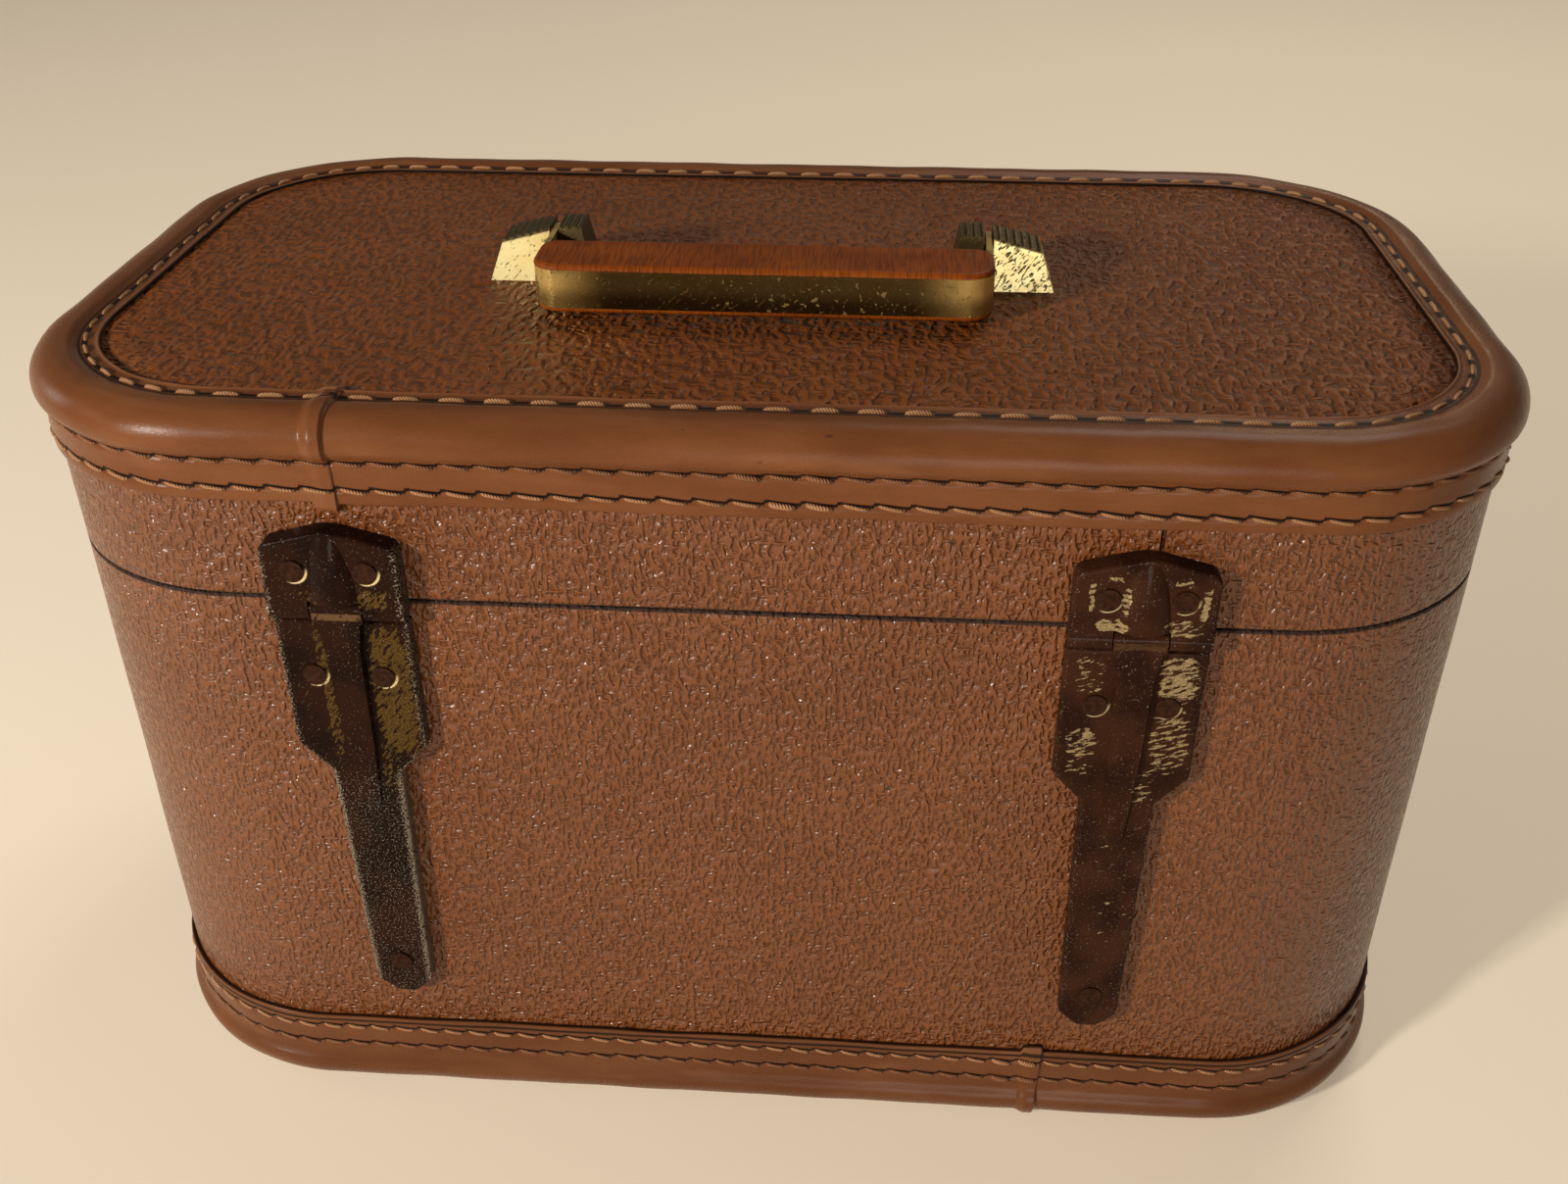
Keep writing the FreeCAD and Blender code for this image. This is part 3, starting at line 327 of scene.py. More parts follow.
def covering(name, low, high, gap):
    """Section of a wall covering: up the outer face, round two soft edges and down the hidden face. Slow
    waves of a few hundredths of a millimetre show that the cloth is laid by hand."""
    along = stations(COVER_SPACING, BESIDE_SEAM)
    face = np.linspace(low + SOFT_EDGE, high - SOFT_EDGE, round((high - low) / COVER_SPACING))
    back = COVER_THICKNESS - SOFT_EDGE
    out = np.concatenate([
        [-SOFT_EDGE, -EDGE_STEP],
        0 * face,
        [-EDGE_STEP, -SOFT_EDGE, -COVER_THICKNESS, -COVER_THICKNESS],
    ])
    height = np.concatenate([[low, low + EDGE_STEP], face, [high - EDGE_STEP, high, high, low]])
    shown = (out > -back).astype(float)
    turn = 2 * math.pi * along[:, None] / ROUND
    long_waves = np.sin(11 * turn + height / 23) + np.sin(17 * turn - height / 31 + 1.0)
    wave = long_waves + np.sin(29 * turn + height / 9)
    from_seam = np.minimum(along, ROUND - along)[:, None]
    dent = HAND_WAVE * wave - gap * np.exp(-((from_seam / SEAM_REACH) ** 2))
    return carried_round(name, COVER_SEAM, along, out + shown * dent, height)


WALL_TONES = colour(114, 61, 24), colour(123, 68, 29)
PANEL_TONES = colour(122, 65, 25), colour(132, 73, 31)
# The valley share paints shade into the emboss's valleys; the panel, seen at a grazing angle, takes more of
# it.
WALL_EMBOSS_AND_SHADE = {"tones": WALL_TONES, "spread": 1.0, "valley": 0.32, "gloss": 0.30, "depth": 0.62}
PANEL_EMBOSS_AND_SHADE = {"tones": PANEL_TONES, "spread": 1.7, "valley": 0.48, "gloss": 0.42, "depth": 0.95}
WALL_LACQUER = {"IOR": 1.5, "Specular IOR Level": 0.5}
PANEL_LACQUER = {"IOR": 1.5, "Specular IOR Level": 0.14}
base_emboss_and_shade = leathercloth(**WALL_EMBOSS_AND_SHADE, tall=WALL_HIGH[2] - WALL_LOW[2], seamed=False)
lid_emboss_and_shade = leathercloth(**WALL_EMBOSS_AND_SHADE, tall=LID_HIGH[2] - LID_LOW[2], seamed=True)
panel_emboss_and_shade = leathercloth(**PANEL_EMBOSS_AND_SHADE, tall=0, seamed=False)
base_cloth = finish("leathercloth_base", WALL_LACQUER, base_emboss_and_shade)
lid_cloth = finish("leathercloth_lid", WALL_LACQUER, lid_emboss_and_shade)
panel_cloth = finish("leathercloth_panel", PANEL_LACQUER, panel_emboss_and_shade)
PANEL_RINGS = 16
PANEL_ROUND = 0.2
PANEL_CREST = 0.05
WIDE_SPACING = 4.0
base_cover = covering("base_wall_cover", WALL_LOW[2], WALL_HIGH[2], 0.0)
attach(base_cover, base_cloth, "base", "leatherette", "base_covering")
lid_cover = covering("lid_wall_cover", LID_LOW[2], LID_HIGH[2], SEAM_GAP)
attach(lid_cover, lid_cloth, "lid", "leatherette", "lid_covering")


def panel(name, node):
    """Flat covering of a board: its outline is drawn in to the middle, on top and underneath. The marks are
    the place across and along the panel."""
    low, high = (np.array(corner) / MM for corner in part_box(node))
    inset = high[0] - HALF_WIDTH
    along = stations(WIDE_SPACING)
    shares = np.linspace(0.0, 1.0, PANEL_RINGS)
    edge = round_case(along, inset, 0.0)[:, None, :]
    share = np.concatenate([shares, [1.0], shares[::-1]])
    under = np.full(PANEL_RINGS, low[2])
    above = np.full(PANEL_RINGS - 1, high[2])
    height = np.concatenate([under, [high[2] - PANEL_ROUND], [high[2] - PANEL_CREST], above])
    points = edge * share[:, None]
    points[..., 2] = height
    marks = points[np.arange(len(along) + 1) % len(along), :, :2]
    return put_surface(name, points, marks)


lid_panel = panel("lid_panel_cover", "lid_top_covering")
attach(lid_panel, panel_cloth, "lid", "leatherette", "lid_top_covering")
floor_panel = panel("base_floor_cover", "base_floor_covering")
attach(floor_panel, panel_cloth, "base", "leatherette", "base_floor_covering")

# Bindings of the top and bottom edges: smooth brown leather strips that wrap the rolled edges of the boards
# and lie on the walls. Each is sewn through in two rows, and its ends lap at one raised joint.
STRIP = 1.3
ROLL = 6.0
OVERHANG = 1.9
BOARD = 9.5
FACE_WIDTH = 12.9
ROLL_MIDDLE = OVERHANG - ROLL
ROLL_FOOT = 8.3
STITCH_INSET = 9.6
BEAD_INSET = 12.3
VALLEY = 0.4
BEAD, BEAD_REACH = 0.4, 0.34
BESIDE_ROW = np.array([-1.0, -0.6, -0.3, 0.0, 0.3, 0.6, 1.0])
JOINT_STEPS = np.concatenate([
    np.arange(-7.5, -4.0, 0.5),
    np.arange(-4.0, 2.0, 0.2),
    np.arange(2.0, 5.0, 0.5),
])
TOP_INSETS = np.array([
    *[5.0, 5.6, 6.1, 6.6, 7.1, 7.6, 8.0, 8.4, 8.8, 9.2],
    *[9.6, 10.0, 10.6, 11.2, 11.6, 11.9, 12.1, 12.3, 12.5, 12.7],
])
WALL_GROOVE, FACE_GROOVE, GROOVE_REACH = 0.45, 0.2, 0.62
STRIP_SPACING = 1.05
WALL_STEPS, TURN_STEPS, BEND_STEPS = 20, 14, 6


class Strip:
    """A binding's section and its sewing. The section is given as points out from the wall's covering and up
    from the board's face: hem, wall, roll, the fall to the sewn valley, bead and lip, and then the hidden
    side back along the board."""

    def __init__(self, face, way, hem, hem_lines, rows, pitch, top_pitch, joint):
        self.face, self.way, self.hem, self.joint = face, way, hem, joint
        self.hem_lines = hem_lines
        even = np.linspace(hem + 0.4, -ROLL, WALL_STEPS)
        side = np.unique(np.concatenate([even, *[row + BESIDE_ROW for row in rows]]))
        side = side[(side > hem + 0.3) & (side <= -ROLL)]
        turn = np.linspace(0, math.pi / 2, TURN_STEPS)[1:]
        fall = VALLEY + (STRIP - VALLEY) * (1 - smooth(TOP_INSETS, -ROLL_MIDDLE + 1.5, ROLL_FOOT))
        top = fall + BEAD * np.exp(-(((TOP_INSETS - BEAD_INSET) / BEAD_REACH) ** 2))
        bend = np.linspace(math.pi / 2, 0, BEND_STEPS)
        inner_side = np.array([-7.0, -8.0, -9.0])
        self.out = np.concatenate([
            [0.2, 0.8, 1.15],
            STRIP + OVERHANG * smooth(side, -BOARD - 0.2, -ROLL),
            ROLL_MIDDLE + (ROLL + STRIP) * np.cos(turn),
            -TOP_INSETS,
            [-FACE_WIDTH, -FACE_WIDTH, -8.0],
            ROLL_MIDDLE + ROLL * np.cos(bend),
            OVERHANG * smooth(inner_side, -BOARD, -ROLL),
            [0.0, 0.0],
        ])
        self.height = np.concatenate([
            [hem, hem, hem + 0.12],
            side,
            -ROLL + (ROLL + STRIP) * np.sin(turn),
            top,
            [0.25, 0.0, 0.0],
            -ROLL + ROLL * np.sin(bend),
            inner_side,
            [-10.0, hem + 0.3],
        ])
        shown = 3 + len(side) + len(turn) + len(TOP_INSETS)
        self.shown = (np.arange(len(self.out)) < shown).astype(float)
        along = np.roll(self.height, -1) - np.roll(self.height, 1)
        across = np.roll(self.out, -1) - np.roll(self.out, 1)
        length = np.hypot(along, across)
        self.square_out, self.square_up = along / length, -across / length
        steps = np.hypot(np.diff(self.out), np.diff(self.height))
        self.lengths = np.concatenate([[0], np.cumsum(steps)])
        wall_rows = [int(np.argmin(np.abs(self.height - row) + 9 * (self.out < 1.2))) for row in rows]
        self.top = slice(shown - len(TOP_INSETS), shown)
        top_row = self.top.start + int(np.argmin(np.abs(TOP_INSETS - STITCH_INSET)))
        self.sewn = [(row, round(ROUND / pitch)) for row in wall_rows] + [(top_row, round(ROUND / top_pitch))]

    def reach(self, inset):
        """Length along the section to the place on top that lies this far in from the wall."""
        return float(np.interp(inset, -self.out[self.top], self.lengths[self.top]))

    def relief(self, along):
        """How far the strip stands out from its plain section: in where the thread draws it down, most at the
        needle holes, up where the ends lap, and a little uneven from being stretched by hand."""
        raised_by = np.zeros((len(along), len(self.out)))
        for (index, count), depth in zip(self.sewn, (WALL_GROOVE, WALL_GROOVE, FACE_GROOVE)):
            drawn = 0.62 + 0.38 * np.cos(2 * math.pi * along * count / ROUND)
            near = np.exp(-(((self.lengths - self.lengths[index]) / GROOVE_REACH) ** 2))
            raised_by -= depth * drawn[:, None] * near
        turn = 2 * math.pi * along[:, None] / ROUND
        raised_by += 0.06 * np.sin(23 * turn + self.lengths / 5) + 0.05 * np.sin(41 * turn - self.lengths / 3)
        beyond = np.where(along > ROUND / 2, along - ROUND, along)[:, None]
        edge = 0.55 - 0.05 * (self.height - self.hem)
        lap = smooth(beyond, edge - 5.2, edge - 2.4) * (1 - smooth(beyond, edge - 0.5, edge + 0.1))
        return (raised_by + (0.35 + 0.6 * smooth(self.height, -11.0, -5.0)) * lap) * self.shown

    def tab(self, along):
        """How far the hem hangs lower: by a tab under the joint, and by slow waves along the rest."""
        beyond = np.where(along > ROUND / 2, along - ROUND, along)
        under = smooth(beyond, -4.9, -4.4) * (1 - smooth(beyond, 0.3, 0.8))
        turn = 2 * math.pi * along / ROUND
        waves = 0.16 * np.sin(13 * turn + 1.0) + 0.10 * np.sin(31 * turn)
        near_hem = 1 - smooth(self.height, self.hem, self.hem + 2.2)
        return (1.5 * under + waves)[:, None] * near_hem

    def level(self, height):
        """Height on the case of a height from the board's face; the base stands on the floor."""
        return np.maximum(self.face + self.way * height, 0.0)

    def build(self, name):
        """Carries the section round the case, with its relief, from the joint."""
        along = stations(STRIP_SPACING, JOINT_STEPS)
        lift = self.relief(along)
        out = self.out + lift * self.square_out
        height = self.level(self.height + lift * self.square_up - self.tab(along))
        points = round_case(self.joint + along[:, None], out, height)
        lengths = np.append(self.lengths, self.lengths[-1] + 0.4)
        marks = np.stack(np.meshgrid(np.append(along, ROUND), lengths, indexing="ij"), axis=-1)
        return put_surface(name, *(turned(points, marks) if self.way < 0 else (points, marks)))


def strip_leather(strip, tones):
    """Smooth satin leather with fine pores. Along each wall row of sewing, painted shade fills a slanting
    slot at every needle hole and draws a dark line over the thread. On top, painted shade darkens the foot of
    the roll, the needle holes, the lip beyond the bead and a band round the row, and a painted highlight
    lightens the bead. Painted shadow also darkens any lines along the hem and the step where the ends lap."""

    def paint(start):
        spot = on_surface(start)
        along, up, _ = parts_of(spot)
        pores = cloud(spot, (1.6, 2.1, 1.0), 4.0, 0.6)
        mottle = cloud(spot, (0.025, 0.09, 1.0), 4.0, 0.55)
        creases = ease(cloud(spot, (0.04, 0.9, 1.0), 3.0, 0.6), 0.58, 0.78)
        stain = ease(cloud(spot, (0.02, 0.10, 1.0), 3.0), 0.56, 0.72)
        spots = ease(cloud(spot, (0.16, 0.3, 1.0), 1.0), 0.78, 0.83)
        tone = tinted(ease(mottle, 0.3, 0.7), *tones)
        rubbed = tinted(stain * 0.3, tone, colour(150, 99, 66))
        lined = tinted(creases * 0.12, rubbed, colour(82, 44, 24))
        dirty = tinted(spots * 0.7, lined, colour(62, 32, 18))
        # Painted shadow along each line of the hem; sunk gathers all the painted shade marks.
        sunk = [(1 - ease(abs(up - hem), 0.2, 0.6)) * 0.9 for hem in strip.hem_lines]
        for index, count in strip.sewn[:2]:
            pitch = ROUND / count
            beat = along.math("FRACT", along / pitch)
            beyond = along.math("FRACT", along / pitch + 0.5) * pitch - pitch / 2
            over = (up - strip.lengths[index]) * strip.way
            # Painted shade: the slanting slot at each needle hole, and the dark line over the thread.
            slot = (1 - ease(abs(over - 0.5 - beyond * 0.62), 0.22, 0.5)) * (1 - ease(abs(beyond), 0.9, 1.2))
            line = 1 - ease(abs(over - 1.05 + beat * 0.95), 0.2, 0.46)
            sunk += [slot, line]
        index, count = strip.sewn[2]
        pitch = ROUND / count
        beyond = abs(along.math("FRACT", along / pitch + 0.5) * pitch - pitch / 2)
        from_row = abs(up - strip.lengths[index])
        # Painted shade at the foot of the roll, in the needle holes of the top row and on the lip beyond the
        # bead.
        foot = (1 - ease(abs(up - strip.reach(ROLL_FOOT)), 0.15, 0.55)) * 0.8
        gap = (1 - ease(from_row, 0.4, 0.9)) * (1 - ease(beyond, 1.5, 2.3)) * 0.95
        lip = ease(up, strip.reach(BEAD_INSET + 0.2), strip.reach(FACE_WIDTH))
        sunk += [foot, gap, lip]
        # Painted shade in a band round the top row of sewing.
        valley = tinted((1 - ease(from_row, 0.8, 2.0)) * 0.35, dirty, colour(78, 38, 20))
        # Painted highlight along the bead.
        bead = 1 - ease(abs(up - strip.reach(BEAD_INSET)), 0.15, 0.5)
        bead_highlighted = tinted(bead * 0.35, valley, colour(152, 102, 70))
        # deep is the strongest of the painted shade marks, and sewn is the colour with them painted in.
        deep = either(*sunk)
        sewn = tinted(deep, bead_highlighted, colour(24, 11, 5))
        # Painted shadow, and a crease in the relief, at the step where the binding's ends lap.
        joint = along - 0.4 + up * 0.05
        lap_crease_shadow = (1 - ease(abs(joint), 0.15, 0.55)) * (0.7 + pores * 0.3)
        lap_shadowed = tinted(lap_crease_shadow * 0.8, sewn, colour(36, 18, 10))
        relief = pores * 0.4 - creases * 0.15 - deep * 0.8 - lap_crease_shadow
        gloss = 0.27 + (pores - 0.5) * 0.2 + stain * 0.08 + deep * 0.3
        return {"Base Color": lap_shadowed, "Roughness": gloss, "Normal": raised(relief, 0.12)}

    return paint


LEATHER = {"IOR": 1.5, "Specular IOR Level": 0.13}
LID_TONES = colour(107, 61, 32), colour(123, 75, 43)
BASE_TONES = colour(100, 58, 32), colour(113, 69, 41)
lid_strip = Strip(
    face=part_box("lid_top_covering")[1].z / MM,
    way=1,
    hem=-19.0,
    hem_lines=(),
    rows=(-16.0, -9.6),
    pitch=7.5,
    top_pitch=9.7,
    joint=-85.9,
)
base_strip = Strip(
    face=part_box("base_floor_covering")[0].z / MM,
    way=-1,
    hem=-22.4,
    hem_lines=(0.4, 2.3),
    rows=(-18.6, -12.5),
    pitch=6.5,
    top_pitch=9.7,
    joint=73.3,
)
lid_binding = lid_strip.build("lid_edge_binding")
lid_leather = finish("lid_strip_leather", LEATHER, strip_leather(lid_strip, LID_TONES))
attach(lid_binding, lid_leather, "lid", "binding", "lid_binding")
base_binding = base_strip.build("base_edge_binding")
base_leather = finish("base_strip_leather", LEATHER, strip_leather(base_strip, BASE_TONES))
attach(base_binding, base_leather, "base", "binding", "base_binding")

# Sewing of the bindings: waxed brown thread, one stitch between each pair of needle holes. On the walls each
# stitch drops a little from its left end to its right, and on top they stand up as short ovals.
RINGS = np.array([-1.0, -0.94, -0.66, 0.0, 0.66, 0.94, 1.0])
RING_WIDTHS = np.array([0.3, 0.72, 1.0, 1.0, 1.0, 0.72, 0.3])
SIDES = np.arange(6) * math.pi / 3
KNOT_WIDER, KNOT_OUT = 1.55, 0.25
END_DIP = 0.35
FLATTENED = 0.8


def sew(name, strip, row, count, length, width, sunk, slope, knots=()):
    """One row of stitches. Each is a rod with rounded ends, laid along the row: rings of six points about a
    line that drops by the slope, on the section's own square and level directions."""
    chance = np.random.default_rng(count + row)
    pitch = ROUND / count
    middle = (np.arange(count) + 0.5) * pitch + chance.uniform(-0.2, 0.2, count)
    thick = np.full(count, width / 2) * chance.uniform(0.92, 1.08, count)
    drop = slope + chance.uniform(-0.12, 0.12, count)
    out_by = -sunk + chance.uniform(-0.06, 0.06, count)
    for knot in knots:
        near = np.argmin(np.abs(middle - (knot - strip.joint) % ROUND))
        thick[near] *= KNOT_WIDER
        out_by[near] += KNOT_OUT
    along = middle[:, None, None] + RINGS[None, :, None] * length / 2
    radius = thick[:, None, None] * RING_WIDTHS[None, :, None]
    bow = out_by[:, None, None] - END_DIP * np.abs(RINGS[None, :, None]) ** 3
    square = bow + radius * np.cos(SIDES)
    level = strip.way * (-drop[:, None, None] * RINGS[None, :, None]) + FLATTENED * radius * np.sin(SIDES)
    square_out, square_up = strip.square_out[row], strip.square_up[row]
    out = strip.out[row] + square * square_out - level * square_up
    height = strip.height[row] + square * square_up + level * square_out
    points = round_case(strip.joint + along, out, strip.level(height))
    ring, side = np.indices((len(RINGS) - 1, len(SIDES)))
    corners = [(ring, side), (ring + 1, side), (ring + 1, side + 1), (ring, side + 1)]
    band = np.stack([r * len(SIDES) + s % len(SIDES) for r, s in corners], axis=-1).reshape(-1, 4)
    spots = np.stack([np.stack([RINGS[r] * length / 2, s * width / 2], axis=-1) for r, s in corners], axis=-2)
    caps = [np.arange(len(SIDES)), np.arange(len(SIDES))[::-1] + (len(RINGS) - 1) * len(SIDES)]
    if strip.way < 0:
        band, spots = band[:, ::-1], spots[..., ::-1, :]
        caps = [cap[::-1] for cap in caps]
    first = np.arange(count) * len(RINGS) * len(SIDES)
    faces = (first[:, None, None] + band).reshape(-1, 4).tolist()
    marks = [np.tile(spots.reshape(-1, 2), (count, 1))]
    for cap in caps:
        faces += (first[:, None] + cap).tolist()
        marks.append(np.zeros((count * len(SIDES), 2)))
    return put_mesh(name, points.reshape(-1, 3), faces, np.concatenate(marks))


def waxed_thread(dark, pale):
    """Three-strand twist as slanting ridges along the thread, painted paler on the ridges and darker in the
    lay between them, as painted light and shade of the twist.
    """

    def paint(start):
        spot = on_surface(start)
        along, across, _ = parts_of(spot)
        twist = 0.5 + 0.5 * along.math("SINE", (along * 1.5 + across * 0.9) * 2 * math.pi)
        dirt = cloud(place(start), (0.15, 0.15, 0.5), 3.0)
        # Painted light and shade of the twist: paler ridges, darker lay.
        strand = tinted(twist * 0.7, dark, pale)
        worn = tinted(ease(dirt, 0.45, 0.75) * 0.5, strand, dark)
        return {"Base Color": worn, "Roughness": 0.48 + dirt * 0.2, "Normal": raised(twist, 0.14)}

    return paint


THREAD = {"IOR": 1.48, "Specular IOR Level": 0.3}
# Lit and shaded copies of one waxed thread: the row nearer the hem is painted paler than the other wall row,
# and the stitches on top palest, as painted light on the thread.
wall_threads = [
    finish("hem_thread_lit", THREAD, waxed_thread(colour(142, 92, 58), colour(220, 170, 124))),
    finish("wall_thread_shaded", THREAD, waxed_thread(colour(106, 62, 36), colour(182, 130, 90))),
]
face_thread_lit = finish("face_thread_lit", THREAD, waxed_thread(colour(142, 92, 54), colour(222, 174, 124)))
KNOTS = {"lid": (4.0, 12.0), "base": (66.0, 72.5)}
WALL_STITCH = {"width": 1.0, "sunk": -0.06, "slope": 0.45}
FACE_STITCH = {"length": 5.7, "width": 1.1, "sunk": -0.16, "slope": 0.0}
STITCH_SHARE = 0.72
for strip, body in ((lid_strip, "lid"), (base_strip, "base")):
    for row, (index, count) in enumerate(strip.sewn[:2]):
        name = f"{body}_wall_stitches_{row + 1}"
        length = ROUND / count * STITCH_SHARE
        stitches = sew(name, strip, index, count, length, **WALL_STITCH, knots=KNOTS[body])
        attach(stitches, wall_threads[row], body, "binding")
    index, count = strip.sewn[2]
    stitches = sew(f"{body}_face_stitches", strip, index, count, **FACE_STITCH)
    attach(stitches, face_thread_lit, body, "binding")

# Linings and the rim: card cups covered in tan woven cloth, glued inside the walls, and a cloth-covered
# hoop that stands up above the base's edge to locate the closed lid.
LINING = 1.0
LINING_OUT = -4.8
LINING_CURVE = 5.0
LINING_LAP = 2
CUP_ROWS, CURVE_ROWS, BACK_ROWS = 12, 7, 5
THREAD_SPACING = 0.7


def lining_cup(name, edge, floor):
    """Cup in the shape of the case: down the wall from its edge, round a curve, and in over its floor to the
    middle, then back along the hidden side. The marks turn from the wall's to the floor's at the curve."""
    way = 1.0 if edge > floor else -1.0
    along = stations(WIDE_SPACING)
    arc = np.linspace(0, math.pi / 2, CURVE_ROWS)
    wall = np.linspace(edge, floor + way * LINING_CURVE, CUP_ROWS)
    inner = LINING_OUT - LINING
    shares = np.linspace(1, 0, CUP_ROWS)[1:]
    wall_points = round_case(along[:, None], np.full(CUP_ROWS, inner), wall)
    curve_out = inner - LINING_CURVE * (1 - np.cos(arc))
    curve_points = round_case(along[:, None], curve_out, floor + way * LINING_CURVE * (1 - np.sin(arc)))
    shrink = np.stack([shares, shares, np.ones(CUP_ROWS - 1)], axis=-1)
    floor_points = curve_points[:, -1:] * shrink
    back_shares = np.linspace(0, 1, BACK_ROWS)
    back_edge = round_case(along[:, None], LINING_OUT, np.array([floor - way * LINING]))
    back_points = back_edge * np.stack([back_shares, back_shares, np.ones(BACK_ROWS)], axis=-1)
    lap_heights = np.array([edge - way * LINING_LAP, edge])
    rim_points = round_case(along[:, None], np.array([LINING_OUT, LINING_OUT]), lap_heights)
    points = np.concatenate([wall_points, curve_points[:, 1:], floor_points, back_points, rim_points], axis=1)
    columns = points.shape[1]
    flat = np.arange(columns) >= CUP_ROWS + CURVE_ROWS // 2
    wrapped = points[np.arange(len(along) + 1) % len(along)]
    wall_marks = np.stack(np.broadcast_arrays(np.append(along, ROUND)[:, None], wrapped[..., 2]), axis=-1)
    marks = np.where(flat[:, None], wrapped[..., :2], wall_marks)
    marks = np.concatenate([marks, wall_marks[:, :1]], axis=1)
    return put_surface(name, *(turned(points, marks) if way < 0 else (points, marks)))


def woven_cloth(start):
    """Plain weave with a slub: threads every 0.7 mm both ways, over and under in turn, with painted shade
    between the crossings, and slow fading.
    """
    spot = on_surface(start)
    across, up, _ = parts_of(spot)
    warp = 0.5 + 0.5 * across.math("SINE", across * (2 * math.pi / THREAD_SPACING))
    weft = 0.5 + 0.5 * up.math("SINE", up * (2 * math.pi / THREAD_SPACING))
    slub = cloud(spot, (0.10, 1.3, 1.0), 3.0)
    faded = cloud(spot, (0.012, 0.012, 1.0), 3.0)
    weave = warp * weft + slub * 0.6
    thread_tone = tinted(ease(slub, 0.35, 0.65), colour(158, 121, 88), colour(186, 150, 116))
    # Painted shade: darker between the thread crossings.
    shaded = tinted((1 - warp * weft) * 0.35, thread_tone, colour(112, 80, 56))
    aged = tinted(ease(faded, 0.5, 0.75) * 0.4, shaded, colour(142, 104, 70))
    return {"Base Color": aged, "Roughness": 0.72 + slub * 0.16, "Normal": raised(weave, 0.12)}


cloth = finish("woven_cloth", {"Sheen Weight": 0.15, "Sheen Roughness": 0.4}, woven_cloth)
lining_low, lining_high = (np.array(corner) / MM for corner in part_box("base_lining"))
base_lining = lining_cup("base_cloth_lining", lining_high[2], lining_low[2] + LINING)
attach(base_lining, cloth, "base", "lining", "base_lining")
lining_low, lining_high = (np.array(corner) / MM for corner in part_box("lid_lining"))
lid_lining = lining_cup("lid_cloth_lining", lining_low[2], lining_high[2] - LINING)
attach(lid_lining, cloth, "lid", "lining", "lid_lining")

RIM_IN, RIM_THICK = -5.8, 2.5
RIM_ROWS, RIM_ARC = 8, 9
rim_low, rim_high = (np.array(corner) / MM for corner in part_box("base_rim"))
rim_turn = np.linspace(0, math.pi, RIM_ARC)
rim_faces = np.linspace(rim_low[2], rim_high[2] - RIM_THICK / 2, RIM_ROWS)
rim_out = np.concatenate([
    np.full(RIM_ROWS, RIM_IN),
    RIM_IN - RIM_THICK / 2 * (1 - np.cos(rim_turn[1:-1])),
    np.full(RIM_ROWS, RIM_IN - RIM_THICK),
])
rim_height = np.concatenate([
    rim_faces,
    rim_high[2] - RIM_THICK / 2 * (1 - np.sin(rim_turn[1:-1])),
    rim_faces[::-1],
])
rim = carried_round("base_cloth_rim", COVER_SEAM, stations(WIDE_SPACING), rim_out, rim_height)
attach(rim, cloth, "base", "lining", "base_rim")

# Mirror in the lid: silvered glass, spotted with age along its edges, held by a leather-covered frame that
# is glued to the lid's lining.


def silvering(start):
    """Bright silver with a few soft grey spots where the backing has perished."""
    spot = place(start)
    spots = ease(cloud(spot, (0.05, 0.05, 0.05), 5.0, 0.7), 0.66, 0.76)
    haze = cloud(spot, (0.02, 0.03, 0.02), 3.0)
    silver = tinted(spots * 0.6, colour(228, 230, 228), colour(110, 102, 92))
    return {"Base Color": silver, "Roughness": 0.03 + haze * 0.05 + spots * 0.3}


def frame_leather(start):
    """Smooth brown leather with fine pores and rubbed patches."""
    spot = place(start)
    pores = cloud(spot, (1.8, 1.8, 1.8), 4.0, 0.6)
    mottle = cloud(spot, (0.05, 0.05, 0.05), 3.0)
    tone = tinted(ease(mottle, 0.3, 0.7), colour(104, 60, 36), colour(134, 84, 54))
    rubbed = tinted(ease(pores, 0.55, 0.8) * 0.3, tone, colour(150, 102, 74))
    return {"Base Color": rubbed, "Roughness": 0.42 + pores * 0.2, "Normal": raised(pores, 0.08)}


dress(finish("silvered_glass", {"Metallic": 1.0}, silvering), "mirror_glass")
dress(finish("frame_leather", LEATHER, frame_leather), "mirror_frame")

# Strap hinges: pressed steel leaves in dark red-brown lacquer, riveted to the lid and the base. The lacquer
# is worn to the plating in streaky patches that differ on each hinge, and freckled along the edges.
LID_RIVETS = [(-7.9, 162.9), (7.9, 162.9)]
BASE_RIVETS = [(-7.75, 135.3), (7.75, 135.3)]
RIVET_RING = 2.95
STRAP_FOOT, STRAP_NECK, LEAF_SHOULDER = 41.0, 108.0, 115.7
STRAP_HALF, STRAP_WIDENS, LEAF_WIDENS = 7.1, 1.1, 6.8
TONGUE_HALF = 5.7


def ramp(value, low, high):
    """Even rise from 0 at low to 1 at high."""
    return value.node("ShaderNodeMapRange", {}, {"Value": value, "From Min": low, "From Max": high})


